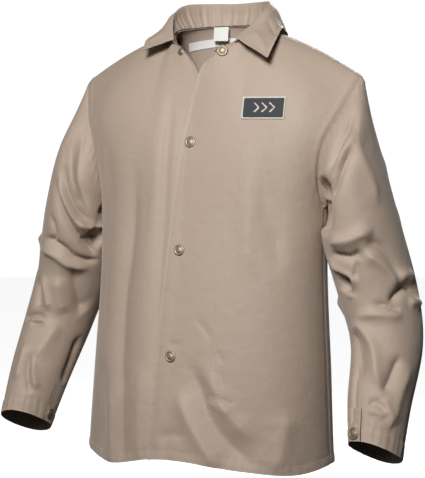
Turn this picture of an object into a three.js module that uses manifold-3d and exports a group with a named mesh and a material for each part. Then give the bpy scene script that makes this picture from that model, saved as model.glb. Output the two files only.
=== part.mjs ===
// Flame-resistant cotton welding jacket: snap front, turned-down collar, two long sleeves with
// snapped cuff vents, a patch on the chest and a patch pocket inside. It stands as it hangs on a
// body: +Z up, +X the wearer's left, -Y the front, origin in the middle of the neck opening.
import * as THREE from 'three';
import { mergeVertices } from 'three/addons/utils/BufferGeometryUtils.js';
import Module from 'manifold-3d';

const wasm = await Module();
wasm.setup();

// ---- driving dimensions, millimetres ----
const HEM_Z = -730, CHEST_Z = -300;
const CLOTH = 2.0, FACING = 1.6, GAP = 0.3, SEAM_GAP = 0.6;
const RIVET_HOLE = 2.6, SNAP_SIDES = 12;
const SEAT = 0.9; // space between a snap's plate and the curved cloth it grips
const NECK_SEAT = 2.5, CUFF_SEAT = 1.5; // the same where the cloth curves more
const DRILL_LENGTH = 34;
const UNDERLAP = 9.0; // how far the right front sits behind the left one at the closing edge
const TUCK_SHARES = [0.16, 0.42]; // where across a front the right one comes forward again
const PANEL_REACH = [240, 250]; // across and up, how fast a front or back runs on past its edges
const ROUND = 2.25; // 2 is an ellipse, more is squarer
const BODY_Y = -28;
const HALF_WIDTH = [[-730, 221], [-600, 213], [-420, 204], [-300, 205]];
const FRONT_DEPTH = [[-730, 158], [-600, 148], [-420, 122], [-300, 100]];
const BACK_DEPTH = [[-730, 118], [-600, 114], [-420, 110], [-300, 108]];
const NECK_POINT = [76, 2, -8], SHOULDER_TIP = [259, 0, -92], SHOULDER_RISE = 8;
const NECK_SHARE = 0.3; // share of a front's top edge that is neckline
const SWING_X = 186, SWING_SHARE = 0.75; // where the loose lower front is taken to turn
const FACING_SHARE = 0.2, POCKET = { from: 70, to: 178, top: -450, bottom: -612 };
const PATCH_Z = -143, PATCH_TALL = 34, PATCH_SHARE = [0.305, 0.6];
const SNAP_Z = [-200, -373, -542], SNAP_X = [3, 0, -3], SNAP_SHARE = 0.305;
const ELBOW_BEND = 60, ELBOW_DEPTH = 68, ELBOW_STEP = 92; // depth of the arm there, length of a station
const CUFF_STATION = 6, VENT_STATION = 5.25, FLAP_ANGLE = 45;
const FLAP_RISE = 7.5; // how far the cuff flap stands off the edge that it laps over
const VENT_ANGLE = { left: 125, right: 190 };
const SHIRT = { color: 0xa8957d, roughness: 0.9, metalness: 0 };
const BRASS = { color: 0x8f7a55, roughness: 0.42, metalness: 0.9 };
const WHITE = { color: 0xe6e3dd, roughness: 0.8, metalness: 0 };
const PATCH = { color: 0x34363a, roughness: 0.8, metalness: 0 };

// ---- curves and layers ----
const vec = (p) => new THREE.Vector3(...p);
const rad = THREE.MathUtils.degToRad;
const lerp = THREE.MathUtils.lerp;
const clamp = THREE.MathUtils.clamp;
const mirror = (p) => [-p[0], p[1], p[2]];

function curve(points, closed = false) {
  return new THREE.CatmullRomCurve3(points.map(vec), closed, 'catmullrom', 0.5);
}

const pointOn = (line, t) => line.getPoint(clamp(t, 0, 1));

// value at height z of a list of [z, value] rows, joined smoothly
function along(rows, z) {
  const i = clamp(rows.findIndex((r) => r[0] > z) - 1, 0, rows.length - 2);
  const k = z >= rows.at(-1)[0] ? rows.length - 2 : i;
  const slope = (j) => {
    const [a, b] = [rows[Math.max(j - 1, 0)], rows[Math.min(j + 1, rows.length - 1)]];
    return (b[1] - a[1]) / (b[0] - a[0]);
  };
  const span = rows[k + 1][0] - rows[k][0];
  const t = clamp((z - rows[k][0]) / span, 0, 1);
  return (2 * t ** 3 - 3 * t ** 2 + 1) * rows[k][1] + (t ** 3 - 2 * t ** 2 + t) * span * slope(k)
    + (3 * t ** 2 - 2 * t ** 3) * rows[k + 1][1] + (t ** 3 - t ** 2) * span * slope(k + 1);
}

// the outward normal of a surface(u, v); facing is +1 or -1
function normalOf(surface, u, v, facing) {
  const e = 1e-4;
  const du = surface(u + e, v).sub(surface(u - e, v));
  const dv = surface(u, v + e).sub(surface(u, v - e));
  return du.cross(dv).multiplyScalar(facing).normalize();
}

// One closed solid of cloth: the cells of a u by v grid that keep() accepts, between lift and
// lift - thick along the outward normal. Rows of u wrap round when the piece is a tube.
function clothSolid(surface, us, vs, o = {}) {
  const { facing = 1, thick = CLOTH, lift = () => 0, tube = false, keep = () => true } = o;
  const columns = us.length, cells = tube ? columns : columns - 1;
  const position = [];
  for (const depth of [0, thick]) {
    for (const v of vs) {
      for (const u of us) {
        const n = normalOf(surface, u, v, facing);
        const p = surface(u, v).addScaledVector(n, lift(u, v) - depth);
        position.push(p.x, p.y, p.z);
      }
    }
  }
  const layer = columns * vs.length;
  const at = (i, j, deep) => deep * layer + j * columns + (i % columns);
  const kept = (i, j) => {
    if (j < 0 || j >= vs.length - 1) return false;
    if (!tube && (i < 0 || i >= cells)) return false;
    return keep((i + cells) % cells, j);
  };
  const index = [];
  const quad = (a, b, c, d) => {
    const q = facing > 0 ? [a, b, c, a, c, d] : [a, c, b, a, d, c];
    index.push(...q);
  };
  for (let j = 0; j < vs.length - 1; j++) {
    for (let i = 0; i < cells; i++) {
      if (!kept(i, j)) continue;
      quad(at(i, j, 0), at(i + 1, j, 0), at(i + 1, j + 1, 0), at(i, j + 1, 0));
      quad(at(i, j, 1), at(i, j + 1, 1), at(i + 1, j + 1, 1), at(i + 1, j, 1));
      if (!kept(i, j - 1)) quad(at(i, j, 1), at(i + 1, j, 1), at(i + 1, j, 0), at(i, j, 0));
      if (!kept(i, j + 1)) quad(at(i, j + 1, 0), at(i + 1, j + 1, 0), at(i + 1, j + 1, 1), at(i, j + 1, 1));
      if (!kept(i - 1, j)) quad(at(i, j, 0), at(i, j + 1, 0), at(i, j + 1, 1), at(i, j, 1));
      if (!kept(i + 1, j)) quad(at(i + 1, j, 1), at(i + 1, j + 1, 1), at(i + 1, j + 1, 0), at(i + 1, j, 0));
    }
  }
  const geometry = new THREE.BufferGeometry();
  geometry.setAttribute('position', new THREE.Float32BufferAttribute(position, 3));
  geometry.setIndex(index);
  return compact(geometry);
}

// leaves out the grid points that no face uses
function compact(geometry) {
  const old = geometry.getAttribute('position'), renumber = new Map(), position = [], index = [];
  for (const i of geometry.getIndex().array) {
    if (!renumber.has(i)) {
      renumber.set(i, renumber.size);
      position.push(old.getX(i), old.getY(i), old.getZ(i));
    }
    index.push(renumber.get(i));
  }
  const tidy = new THREE.BufferGeometry();
  tidy.setAttribute('position', new THREE.Float32BufferAttribute(position, 3));
  tidy.setIndex(index);
  tidy.computeVertexNormals();
  return tidy;
}

const steps = (from, to, n) => Array.from({ length: n + 1 }, (_, i) => lerp(from, to, i / n));

// ---- the body: rings below the chest line, rounded panels above it ----
const power = (value, exponent) => Math.sign(value) * Math.abs(value) ** exponent;

function ring(angle, z) {
  const [c, s] = [Math.cos(angle), Math.sin(angle)];
  const depth = c > 0 ? along(FRONT_DEPTH, z) : along(BACK_DEPTH, z);
  return vec([along(HALF_WIDTH, z) * power(s, 2 / ROUND), BODY_Y - depth * power(c, 2 / ROUND), z]);
}

const angleAtX = (x, z) => Math.asin(clamp(power(x / along(HALF_WIDTH, z), ROUND / 2), -1, 1));

// closing edge of a front below the chest, as x on the wearer's left side
const EDGE_X = {
  left: [[-730, -35], [-544, -30], [-373, -24], [-300, -20]],
  right: [[-730, -14], [-544, -17], [-373, -20], [-300, -20]],
};

function frontAngle(side, s, z) {
  const edge = angleAtX(along(EDGE_X[side], z), z), swing = angleAtX(SWING_X, z);
  if (s < SWING_SHARE) return lerp(edge, swing, s / SWING_SHARE);
  return lerp(swing, Math.PI / 2, (s - SWING_SHARE) / (1 - SWING_SHARE));
}

// armhole, from the shoulder tip forwards, down to the underarm and up behind
const armhole = curve([
  SHOULDER_TIP, [240, -40, -146], [216, -62, -203], [204, -52, -262], [203, BODY_Y, CHEST_Z],
  [209, 14, -272], [221, 42, -215], [241, 34, -145],
], true);
const frontEdge = curve([
  [-20, BODY_Y - 100, CHEST_Z], [-17, -121, -245], [-13, -108, -195], [-7, -94, -140],
  [1, -80, -86], [18, -74, -60], [35, -70, -43],
]);
const frontNeck = curve([[35, -70, -43], [56, -56, -34], [73, -28, -18], NECK_POINT]);
const backNeck = curve([[0, 62, 0], [42, 54, -1], [66, 32, -4], NECK_POINT]);

function shoulder(share) {
  const p = vec(NECK_POINT).lerp(vec(SHOULDER_TIP), share);
  p.z += SHOULDER_RISE * Math.sin(Math.PI * share);
  return p;
}

// A column of a panel leaves the chest ring upright and rolls over onto the shoulder seam.
function rollOver(foot, head, t) {
  const w = (t * Math.PI) / 2;
  return vec([
    lerp(foot.x, head.x, 1 - Math.cos(w)),
    head.y + (foot.y - head.y) * Math.cos(w),
    foot.z + (head.z - foot.z) * Math.sin(w),
  ]);
}

function frontTop(s) {
  return s < NECK_SHARE ? frontNeck.getPoint(s / NECK_SHARE)
    : shoulder((s - NECK_SHARE) / (1 - NECK_SHARE));
}

// upper front, s from the closing edge to the armhole, t from the chest line to the top
function upperFront(side, s, t) {
  const [a, b] = [clamp(s, 0, 1), clamp(t, 0, 1)];
  const foot = (k) => ring(frontAngle(side, k, CHEST_Z), CHEST_Z);
  const p = rollOver(foot(a), frontTop(a), b);
  const inner = frontEdge.getPoint(b).sub(rollOver(foot(0), frontTop(0), b));
  const outer = armhole.getPoint(0.5 * (1 - b)).sub(rollOver(foot(1), frontTop(1), b));
  p.addScaledVector(inner, (1 - a) ** 2).addScaledVector(outer, a ** 2);
  return p.add(vec([(s - a) * PANEL_REACH[0], 0, (t - b) * PANEL_REACH[1]]));
}

// whole front, v below 0 is the part under the chest line and v 0 to 1 is the part above it
function front(side) {
  return (s, v) => (v < 0
    ? ring(frontAngle(side, s, CHEST_Z + (CHEST_Z - HEM_Z) * v), CHEST_Z + (CHEST_Z - HEM_Z) * v)
    : upperFront(side, s, v));
}

function back(u, v) {
  const r = Math.min(Math.abs(u), 1), side = Math.sign(u) || 1;
  const turn = Math.PI * (1 - Math.abs(u) / 2);
  if (v < 0) {
    const p = ring(turn, CHEST_Z + (CHEST_Z - HEM_Z) * v);
    return vec([side * p.x, p.y, p.z]);
  }
  const t = Math.min(v, 1);
  const head = (k) => (k < NECK_SHARE ? backNeck.getPoint(k / NECK_SHARE)
    : shoulder((k - NECK_SHARE) / (1 - NECK_SHARE)));
  const p = rollOver(ring(turn, CHEST_Z), head(r), t);
  const rim = armhole.getPoint(0.5 + 0.5 * t).sub(rollOver(ring(Math.PI / 2, CHEST_Z), head(1), t));
  p.addScaledVector(rim, r ** 2);
  p.z += (v - t) * PANEL_REACH[1];
  return vec([side * p.x, p.y, p.z]);
}

const mirrored = (surface) => (u, v) => {
  const p = surface(u, v);
  p.x = -p.x;
  return p;
};

const parts = new THREE.Group();
parts.name = 'welding_jacket';

function add(name, geometry, look, frame = new THREE.Matrix4()) {
  const mesh = new THREE.Mesh(geometry, new THREE.MeshStandardMaterial(look));
  mesh.name = name;
  mesh.applyMatrix4(frame);
  parts.add(mesh);
}

// ---- snap fasteners ----
// Each stands on a frame at the cloth's outer face with its own +Z outwards. depth.over is the
// thickness of the plies under the cap, depth.under the place of the lower plies' outer face.
const capProfile = [[8, 0], [8.5, 0.6], [8, 1.6], [6.3, 2.2], [5.2, 1.8], [3.6, 2.2], [0, 2.9]];

function lathe(profile) {
  const outline = profile.map(([r, z]) => new THREE.Vector2(r, z));
  return new THREE.LatheGeometry(outline, SNAP_SIDES).rotateX(Math.PI / 2);
}

// straight: the axis has no sideways lean, so that both plies of the closing take it
function snapFrame(surface, u, v, facing, straight = false) {
  const z = normalOf(surface, u, v, facing);
  if (straight) z.setX(0).normalize();
  const x = new THREE.Vector3(0, 0, 1).cross(z).normalize();
  const y = z.clone().cross(x);
  return new THREE.Matrix4().makeBasis(x, y, z).setPosition(surface(u, v));
}

function addCapAndSocket(name, frame, over, seat = SEAT) {
  const tip = -over - seat;
  add(`${name}_snap_cap`, lathe([[0, tip], [2, tip], [2, seat],
    ...capProfile.map(([r, z]) => [r, z + seat])]), BRASS, frame);
  const top = -over - seat;
  add(`${name}_snap_socket`, lathe([[2.4, top], [2.4, top - 0.8], [3.7, top - 0.8],
    [3.7, top - 2.4], [6.2, top - 2.4], [6.2, top], [2.4, top]]), BRASS, frame);
}

function addStudAndPost(name, frame, outer, plies, seat = SEAT) {
  const base = outer + seat;
  add(`${name}_snap_stud`, lathe([[0, base], [5.6, base], [5.6, base + 0.6], [2.1, base + 0.7],
    [2.4, base + 1.5], [1.8, base + 1.9], [0, base + 1.9]]), BRASS, frame);
  const foot = outer - plies - seat - 0.5;
  add(`${name}_snap_post`, lathe([[0, foot - 1], [6.5, foot - 1], [6.5, foot], [2, foot],
    [2, outer + seat - GAP], [0, outer + seat - GAP]]), BRASS, frame);
}

const solid = (g) => new wasm.Manifold(new wasm.Mesh({
  numProp: 3,
  vertProperties: new Float32Array(g.getAttribute('position').array),
  triVerts: new Uint32Array(g.getIndex().array),
}));

// cuts the rivet holes through a panel
function pierce(geometry, frames) {
  let body = solid(geometry);
  for (const frame of frames) {
    const drill = new THREE.CylinderGeometry(RIVET_HOLE, RIVET_HOLE, DRILL_LENGTH, 12).rotateX(Math.PI / 2);
    drill.deleteAttribute('normal');
    drill.deleteAttribute('uv');
    body = body.subtract(solid(mergeVertices(drill.applyMatrix4(frame))));
  }
  const mesh = body.getMesh(), out = new THREE.BufferGeometry();
  out.setAttribute('position', new THREE.Float32BufferAttribute(mesh.vertProperties, 3));
  out.setIndex([...mesh.triVerts]);
  out.computeVertexNormals();
  return out;
}

// ---- fronts, facings and their snaps ----
const LOWER = (z) => (z - CHEST_Z) / (CHEST_Z - HEM_Z); // v of a height under the chest line
const shareAtX = (side, x, z) => {
  const [edge, swing] = [angleAtX(along(EDGE_X[side], z), z), angleAtX(SWING_X, z)];
  return (SWING_SHARE * (angleAtX(x, z) - edge)) / (swing - edge);
};
// share of the upper front at which the snap line runs, found by stepping
function upperShare(side, x, t) {
  let s = 0;
  while (upperFront(side, s, t).x < x) s += 0.002;
  return s;
}

function buildFront(side) {
  const right = side === 'right';
  const surface = right ? mirrored(front(side)) : front(side);
  const facing = right ? -1 : 1;
  // the right front passes behind the left one and comes forward to its own side seam
  const sink = (s) => (right ? -UNDERLAP * (1 - THREE.MathUtils.smoothstep(s, ...TUCK_SHARES)) : 0);
  const gapV = SEAM_GAP / 2 / (CHEST_Z - HEM_Z), gapS = SEAM_GAP / 300;
  const low = steps(-1, -8 * gapV, 9);
  const high = [0, 0.06, ...steps(0.14, 0.994, 9)];
  const inner = [0, 0.07, 0.14, FACING_SHARE, 0.3, 0.42, 0.55, 0.66, SWING_SHARE];
  // the closed snaps stand on the left front's face on both sides; the open one has two frames
  const holesLow = [1, 2].map((i) => snapFrame(front('left'),
    shareAtX('left', SNAP_X[i], SNAP_Z[i]), LOWER(SNAP_Z[i]), 1, true));
  const holesUp = [
    snapFrame(front('left'), upperShare('left', SNAP_X[0], SNAP_SHARE), SNAP_SHARE, 1, true),
    snapFrame(surface, 0.06, 0.88, facing),
  ];

  const whole = clothSolid(surface,
    [...inner.slice(0, -1), SWING_SHARE, 0.84, 0.92, 1 - SEAM_GAP / 400],
    [...steps(-1, -0.125, 7), ...high],
    { facing, lift: sink, keep: (i, j) => j > 7 || i >= inner.length - 1 });
  add(`${side}_front_upper`, pierce(whole, holesUp), SHIRT);
  const swing = clothSolid(surface, [...inner.slice(0, -1), SWING_SHARE - gapS * 4], low,
    { facing, lift: sink });
  add(`${side}_front_lower`, pierce(swing, holesLow), SHIRT);

  const under = (s) => sink(s) - CLOTH - GAP;
  const strip = inner.slice(0, 4);
  const upStrip = clothSolid(surface, strip, high, { facing, thick: FACING, lift: under });
  add(`${side}_facing_upper`, pierce(upStrip, holesUp), SHIRT);
  const lowStrip = clothSolid(surface, strip, low, { facing, thick: FACING, lift: under });
  add(`${side}_facing_lower`, pierce(lowStrip, holesLow), SHIRT);

  const plies = CLOTH + GAP + FACING;
  const names = ['chest', 'neck', 'waist', 'hem'];
  [...holesUp, ...holesLow].forEach((frame, i) => {
    const seat = names[i] === 'neck' ? NECK_SEAT : SEAT;
    if (right) addStudAndPost(names[i], frame, -UNDERLAP, plies, seat);
    else addCapAndSocket(names[i], frame, plies, seat);
  });
}

function buildPocket() {
  const surface = front('left');
  const vs = steps(LOWER(POCKET.bottom), LOWER(POCKET.top), 6);
  const us = steps(shareAtX('left', POCKET.from, -530), shareAtX('left', POCKET.to, -530), 6);
  const belly = (s, v) => {
    const a = (2 * (s - us[0])) / (us.at(-1) - us[0]) - 1;
    const b = (v - vs[0]) / (vs.at(-1) - vs[0]);
    return (1 - a ** 4) * Math.min(1, 3 * b);
  };
  add('inside_pocket', clothSolid(surface, us, vs,
    { thick: FACING, lift: (s, v) => -CLOTH - 1.2 - 8 * belly(s, v) }), SHIRT);
}

function buildBack() {
  const side = 1 - SEAM_GAP / 400;
  add('back_panel', clothSolid(back,
    steps(-side, side, 20), [...steps(-1, 0, 8), ...steps(0.125, 0.992, 7)], { facing: -1 }), SHIRT);
}

// ---- collar: an upright stand, a fall turned down over it, and two free points ----
const STAND_FOOT = [[0, 62, 0.5], [42, 54, -0.5], [66, 32, -3.5], [76, 2, -7.5], [73, -28, -17.5],
  [56, -56, -33.5]];
const FOLD = [[0, 66, 35], [45, 60, 36], [79, 28, 33], [84.6, -4, 18], [74, -31, -7], [57.5, -58, -30]];
const FALL_EDGE = {
  left: [[0, 84, -22], [62, 76, -22], [98, 44, -20], [105, 10, -10], [117, -34, -27], [121, -76, -62]],
  right: [[0, 84, -22], [62, 76, -22], [100, 44, -20], [110, 6, -12], [113, -38, -26], [104, -66, -46]],
};
const WING_FROM = 0.6;

function fullCurve(left, right = left) {
  return curve([...right.slice(1).reverse().map(mirror), ...left]);
}
const standFoot = fullCurve(STAND_FOOT);
const fold = fullCurve(FOLD);
const fallEdge = fullCurve(FALL_EDGE.left, FALL_EDGE.right);

// u from -1 at the wearer's right end to 1 at the left end, v from the neck seam to the fold
const stand = (u, v) => pointOn(standFoot, (u + 1) / 2).lerp(pointOn(fold, (u + 1) / 2), v);
const fall = (u, v) => {
  const p = pointOn(fold, (u + 1) / 2).lerp(pointOn(fallEdge, (u + 1) / 2), v);
  const away = vec([p.x, p.y, 0]).normalize();
  return p.addScaledVector(away, 3 + 6 * v * (1 - v));
};

function buildCollar() {
  add('collar_stand', clothSolid(stand, steps(-1, 1, 24), [0, 0.5, 1], { facing: -1 }), SHIRT);
  const cut = 0.006, plies = { thick: 2.4, facing: 1 };
  const across = [0.06, 0.35, 0.65, 1];
  add('collar_back', clothSolid(fall, steps(-WING_FROM + cut, WING_FROM - cut, 16), across, plies), SHIRT);
  add('collar_left', clothSolid(fall, steps(WING_FROM + cut, 1, 6), across, plies), SHIRT);
  add('collar_right', clothSolid(fall, steps(-1, -WING_FROM - cut, 6), across, plies), SHIRT);
}

// ---- sleeves: lofted from the armhole through six rings ----
// centre, half width across, half depth fore and aft, tilt outwards, tilt forwards
const STATIONS = [
  [[246, -22, -252], 74, 76, 58, 0],
  [[264, -24, -331], 64, 77, 30, 0],
  [[292, -10, -440], 62, 75, 12, 0],
  [[313, -25, -522], 57, 68, 6, 12],
  [[320, -78, -612], 49, 59, 3, 25],
];
const CUFF = {
  left: [[325, -106, -680], 42, 50, -12, 20],
  right: [[329, -112, -694], 42, 50, 3, 22],
};

function sleevePoint(side, k, degrees) {
  if (k < 0) return armhole.getPoint((((degrees / 360) % 1) + 1) % 1);
  const [centre, across, deep, out, ahead] = STATIONS[k] ?? CUFF[side];
  const [c, s] = [Math.cos(rad(degrees)), Math.sin(rad(degrees))];
  const o = vec([Math.cos(rad(out)), 0, Math.sin(rad(out))]);
  const f = vec([0, -Math.cos(rad(ahead)), Math.sin(rad(ahead))]);
  return vec(centre).addScaledVector(o, across * c).addScaledVector(f, deep * s);
}

// sleeve surface: degrees from the outside through the front, station 0 armhole to 6 cuff
const sleeve = (side) => (degrees, station) => {
  const k = clamp(Math.floor(station), 0, CUFF_STATION - 1), t = station - k;
  const at = (i) => sleevePoint(side, i, degrees);
  const [b, c] = [at(k - 1), at(k)];
  const a = k > 0 ? at(k - 2) : b.clone().multiplyScalar(2).sub(c);
  const d = k < CUFF_STATION - 1 ? at(k + 1) : c.clone().multiplyScalar(2).sub(b);
  const mix = (pa, pb, pc, pd) => 0.5 * (2 * pb + (pc - pa) * t
    + (2 * pa - 5 * pb + 4 * pc - pd) * t * t + (3 * pb - pa - 3 * pc + pd) * t ** 3);
  return vec([mix(a.x, b.x, c.x, d.x), mix(a.y, b.y, c.y, d.y), mix(a.z, b.z, c.z, d.z)]);
};

function buildSleeve(side) {
  const surface = side === 'right' ? mirrored(sleeve(side)) : sleeve(side);
  const facing = side === 'right' ? -1 : 1;
  const vent = VENT_ANGLE[side];
  const round = steps(vent, vent + 360, 24).slice(0, -1);
  // the inside of the elbow is cut away on both sides of the bend
  const bend = (degrees) => 0.03
    + Math.max(0, ELBOW_DEPTH * Math.sin(rad(degrees))) * Math.tan(rad(ELBOW_BEND / 2 + 5)) / ELBOW_STEP;
  const upper = (degrees, w) => surface(degrees, lerp(0.03, 4 - bend(degrees), w));
  add(`${side}_sleeve_upper`, clothSolid(upper, round, steps(0, 1, 8), { facing, tube: true }), SHIRT);

  const lower = (degrees, w) => surface(degrees, w < 0.5
    ? lerp(4 + bend(degrees), VENT_STATION, w * 2) : lerp(VENT_STATION, CUFF_STATION, w * 2 - 1));
  const cut = Math.round(FLAP_ANGLE / 15);
  const tube = clothSolid(lower, round, steps(0, 1, 8),
    { facing, tube: true, keep: (i, j) => j < 4 || i >= cut });
  const snapAt = vent - 13, snapStation = CUFF_STATION - 0.17;
  const frame = snapFrame(surface, snapAt, snapStation, facing);
  add(`${side}_sleeve_lower`, pierce(tube, [frame]), SHIRT);

  // the vent's flap fills the cut and laps over the other edge
  const lap = (degrees) => FLAP_RISE * (1 - THREE.MathUtils.smoothstep(degrees, vent + 2, vent + 12));
  const flap = clothSolid(surface, [vent - 24, vent - 14, vent - 6, vent + 2, vent + 7, vent + 12,
    vent + 28, vent + FLAP_ANGLE - 1], steps(VENT_STATION + 0.012, CUFF_STATION, 4),
  { facing, thick: CLOTH, lift: lap });
  const raised = frame.clone().multiply(new THREE.Matrix4().makeTranslation(0, 0, FLAP_RISE));
  add(`${side}_cuff_flap`, pierce(flap, [frame]), SHIRT);
  addCapAndSocket(`${side}_cuff`, raised, CLOTH);
  addStudAndPost(`${side}_cuff`, frame, 0, CLOTH, CUFF_SEAT);
}

// ---- patch, label and size tag ----
// the upper left front by height instead of by share of its column
function levelFront(s, z) {
  let [low, high] = [0, 1];
  for (let i = 0; i < 24; i++) {
    const t = (low + high) / 2;
    if (upperFront('left', s, t).z < z) low = t;
    else high = t;
  }
  return upperFront('left', s, (low + high) / 2);
}

function buildTrim() {
  const badge = clothSolid(levelFront, steps(...PATCH_SHARE, 6),
    steps(PATCH_Z - PATCH_TALL / 2, PATCH_Z + PATCH_TALL / 2, 3), { thick: 1.2, lift: () => 1.5 });
  add('chest_patch', badge, PATCH);
  add('neck_label', clothSolid(back, steps(-0.27, 0.02, 6), steps(0.694, 0.766, 2),
    { facing: -1, thick: 0.6, lift: () => -CLOTH - 1.5 }), WHITE);
  const hung = new THREE.Matrix4().makeTranslation(-24, 52, -14);
  hung.multiply(new THREE.Matrix4().makeRotationX(rad(-6)));
  add('size_tag', new THREE.BoxGeometry(28, 0.6, 24), WHITE, hung);
}

buildBack();
buildFront('left');
buildFront('right');
buildPocket();
buildCollar();
buildSleeve('left');
buildSleeve('right');
buildTrim();

export default parts;
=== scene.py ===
import bpy
import numpy as np
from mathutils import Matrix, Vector


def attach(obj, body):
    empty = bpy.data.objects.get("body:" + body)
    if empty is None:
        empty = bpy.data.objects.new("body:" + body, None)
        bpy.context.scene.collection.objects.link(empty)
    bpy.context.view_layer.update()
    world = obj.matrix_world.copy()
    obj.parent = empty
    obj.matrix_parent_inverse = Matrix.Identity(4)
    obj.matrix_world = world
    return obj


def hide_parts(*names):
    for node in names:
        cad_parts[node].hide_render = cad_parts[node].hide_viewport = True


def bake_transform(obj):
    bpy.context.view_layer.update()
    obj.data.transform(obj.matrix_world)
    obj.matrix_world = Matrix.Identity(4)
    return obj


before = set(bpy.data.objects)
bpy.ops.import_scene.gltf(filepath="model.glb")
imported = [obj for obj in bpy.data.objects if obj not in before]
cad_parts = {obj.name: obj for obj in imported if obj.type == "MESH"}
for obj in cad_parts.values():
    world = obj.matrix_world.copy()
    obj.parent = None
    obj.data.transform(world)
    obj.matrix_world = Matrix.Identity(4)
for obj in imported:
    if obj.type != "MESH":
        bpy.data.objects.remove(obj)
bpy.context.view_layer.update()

# ---- camera, floor and light ----
# A pale studio: a white floor well below the hem, a white backdrop all round, a soft light high in
# front, a weak one from the wearer's right, and one behind for the back.
AIM = Vector((0.0, -0.028, -0.364))
CAMERA_PLACE = Vector((1.0442, -2.0773, -0.160))
camera = bpy.data.objects.new("camera", bpy.data.cameras.new("camera"))
bpy.context.scene.collection.objects.link(camera)
camera.data.sensor_fit = "VERTICAL"
camera.data.sensor_height = 24.0
camera.data.lens = 68.2
camera.location = CAMERA_PLACE
camera.rotation_mode = "QUATERNION"
camera.rotation_quaternion = (AIM - CAMERA_PLACE).to_track_quat("-Z", "Y")
bpy.context.scene.camera = camera
bpy.context.scene.view_settings.view_transform = "Standard"


class S:
    """A shader socket that takes part in arithmetic."""

    def __init__(self, tree, socket):
        self.tree, self.socket = tree, socket

    def math(self, operation, *values):
        return node(self.tree, "ShaderNodeMath", {"operation": operation}, *values)

    def __add__(self, other):
        return self.math("ADD", self, other)

    def __sub__(self, other):
        return self.math("SUBTRACT", self, other)

    def __rsub__(self, other):
        return self.math("SUBTRACT", other, self)

    def __mul__(self, other):
        return self.math("MULTIPLY", self, other)

    __radd__, __rmul__ = __add__, __mul__


def node(tree, kind, settings=None, *values, out=0, **named):
    """Adds a node, sets it up, fills or links its inputs, and gives one of its outputs."""
    made = tree.nodes.new(kind)
    for key, value in (settings or {}).items():
        if key == "stops":
            ramp = made.color_ramp.elements
            while len(ramp) < len(value):
                ramp.new(0.5)
            for element, (place, colour) in zip(ramp, value):
                element.position, element.color = place, colour
        else:
            setattr(made, key, value)
    by_name = [(key.replace("_", " "), value) for key, value in named.items()]
    for key, value in [*enumerate(values), *by_name]:
        if isinstance(value, S):
            tree.links.new(value.socket, made.inputs[key])
        elif value is not None:
            made.inputs[key].default_value = value
    return S(tree, made.outputs[out])


def mix(tree, share, one, other):
    """Colour between one and other."""
    made = tree.nodes.new("ShaderNodeMix")
    made.data_type = "RGBA"
    for key, value in ((0, share), (6, one), (7, other)):
        if isinstance(value, S):
            tree.links.new(value.socket, made.inputs[key])
        else:
            made.inputs[key].default_value = value
    return S(tree, made.outputs[2])


def material(name):
    made = bpy.data.materials.new(name)
    made.use_nodes = True
    return made, made.node_tree, made.node_tree.nodes["Principled BSDF"]


def paint(tree, shader, **sockets):
    """Links or sets inputs of the shader by name."""
    for key, value in sockets.items():
        target = shader.inputs[key.replace("_", " ")]
        if isinstance(value, S):
            tree.links.new(value.socket, target)
        else:
            target.default_value = value


FLOOR_Z, STAGE_SIZE = -1.45, 9.0
floor_look, tree, shader = material("studio_floor")
speckle = node(tree, "ShaderNodeTexNoise", None, Scale=3.0, Detail=2.0)
paint(tree, shader, Base_Color=mix(tree, speckle, (0.86, 0.86, 0.86, 1), (0.9, 0.9, 0.9, 1)),
      Roughness=0.8, Emission_Color=(1, 1, 1, 1), Emission_Strength=0.9)
backdrop_look, tree, shader = material("studio_backdrop")
paint(tree, shader, Base_Color=(0, 0, 0, 1), Emission_Color=(1, 1, 1, 1), Emission_Strength=1.05)


def stage_disc(name, z, look):
    turn = np.linspace(0, 2 * np.pi, 64, endpoint=False)
    mesh = bpy.data.meshes.new(name)
    mesh.from_pydata([(STAGE_SIZE * np.cos(a), STAGE_SIZE * np.sin(a), z) for a in turn], [],
                     [list(range(64))])
    disc = bpy.data.objects.new(name, mesh)
    bpy.context.scene.collection.objects.link(disc)
    mesh.materials.append(look)
    disc.visible_diffuse = disc.visible_glossy = False


stage_disc("floor", FLOOR_Z, floor_look)
bpy.ops.mesh.primitive_uv_sphere_add(radius=STAGE_SIZE, segments=48, ring_count=24)
backdrop = bpy.context.object
backdrop.name = "backdrop"
backdrop.data.materials.append(backdrop_look)
backdrop.visible_diffuse = backdrop.visible_glossy = backdrop.visible_shadow = False

world = bpy.data.worlds.new("studio")
bpy.context.scene.world = world
world.use_nodes = True
world.node_tree.nodes["Background"].inputs["Color"].default_value = (1.0, 0.985, 0.965, 1)
world.node_tree.nodes["Background"].inputs["Strength"].default_value = 0.03


def soft_light(name, place, size, power):
    lamp = bpy.data.objects.new(name, bpy.data.lights.new(name, "AREA"))
    bpy.context.scene.collection.objects.link(lamp)
    lamp.data.shape, lamp.data.size, lamp.data.energy = "DISK", size, power
    lamp.location = place
    lamp.rotation_mode = "QUATERNION"
    lamp.rotation_quaternion = (AIM - Vector(place)).to_track_quat("-Z", "Y")


soft_light("key_light", (0.5, -2.15, 1.05), 0.9, 78)
soft_light("fill_light", (-1.9, -1.9, 0.1), 1.4, 4)
soft_light("back_light", (-0.5, 2.9, 1.0), 1.4, 62)

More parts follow.
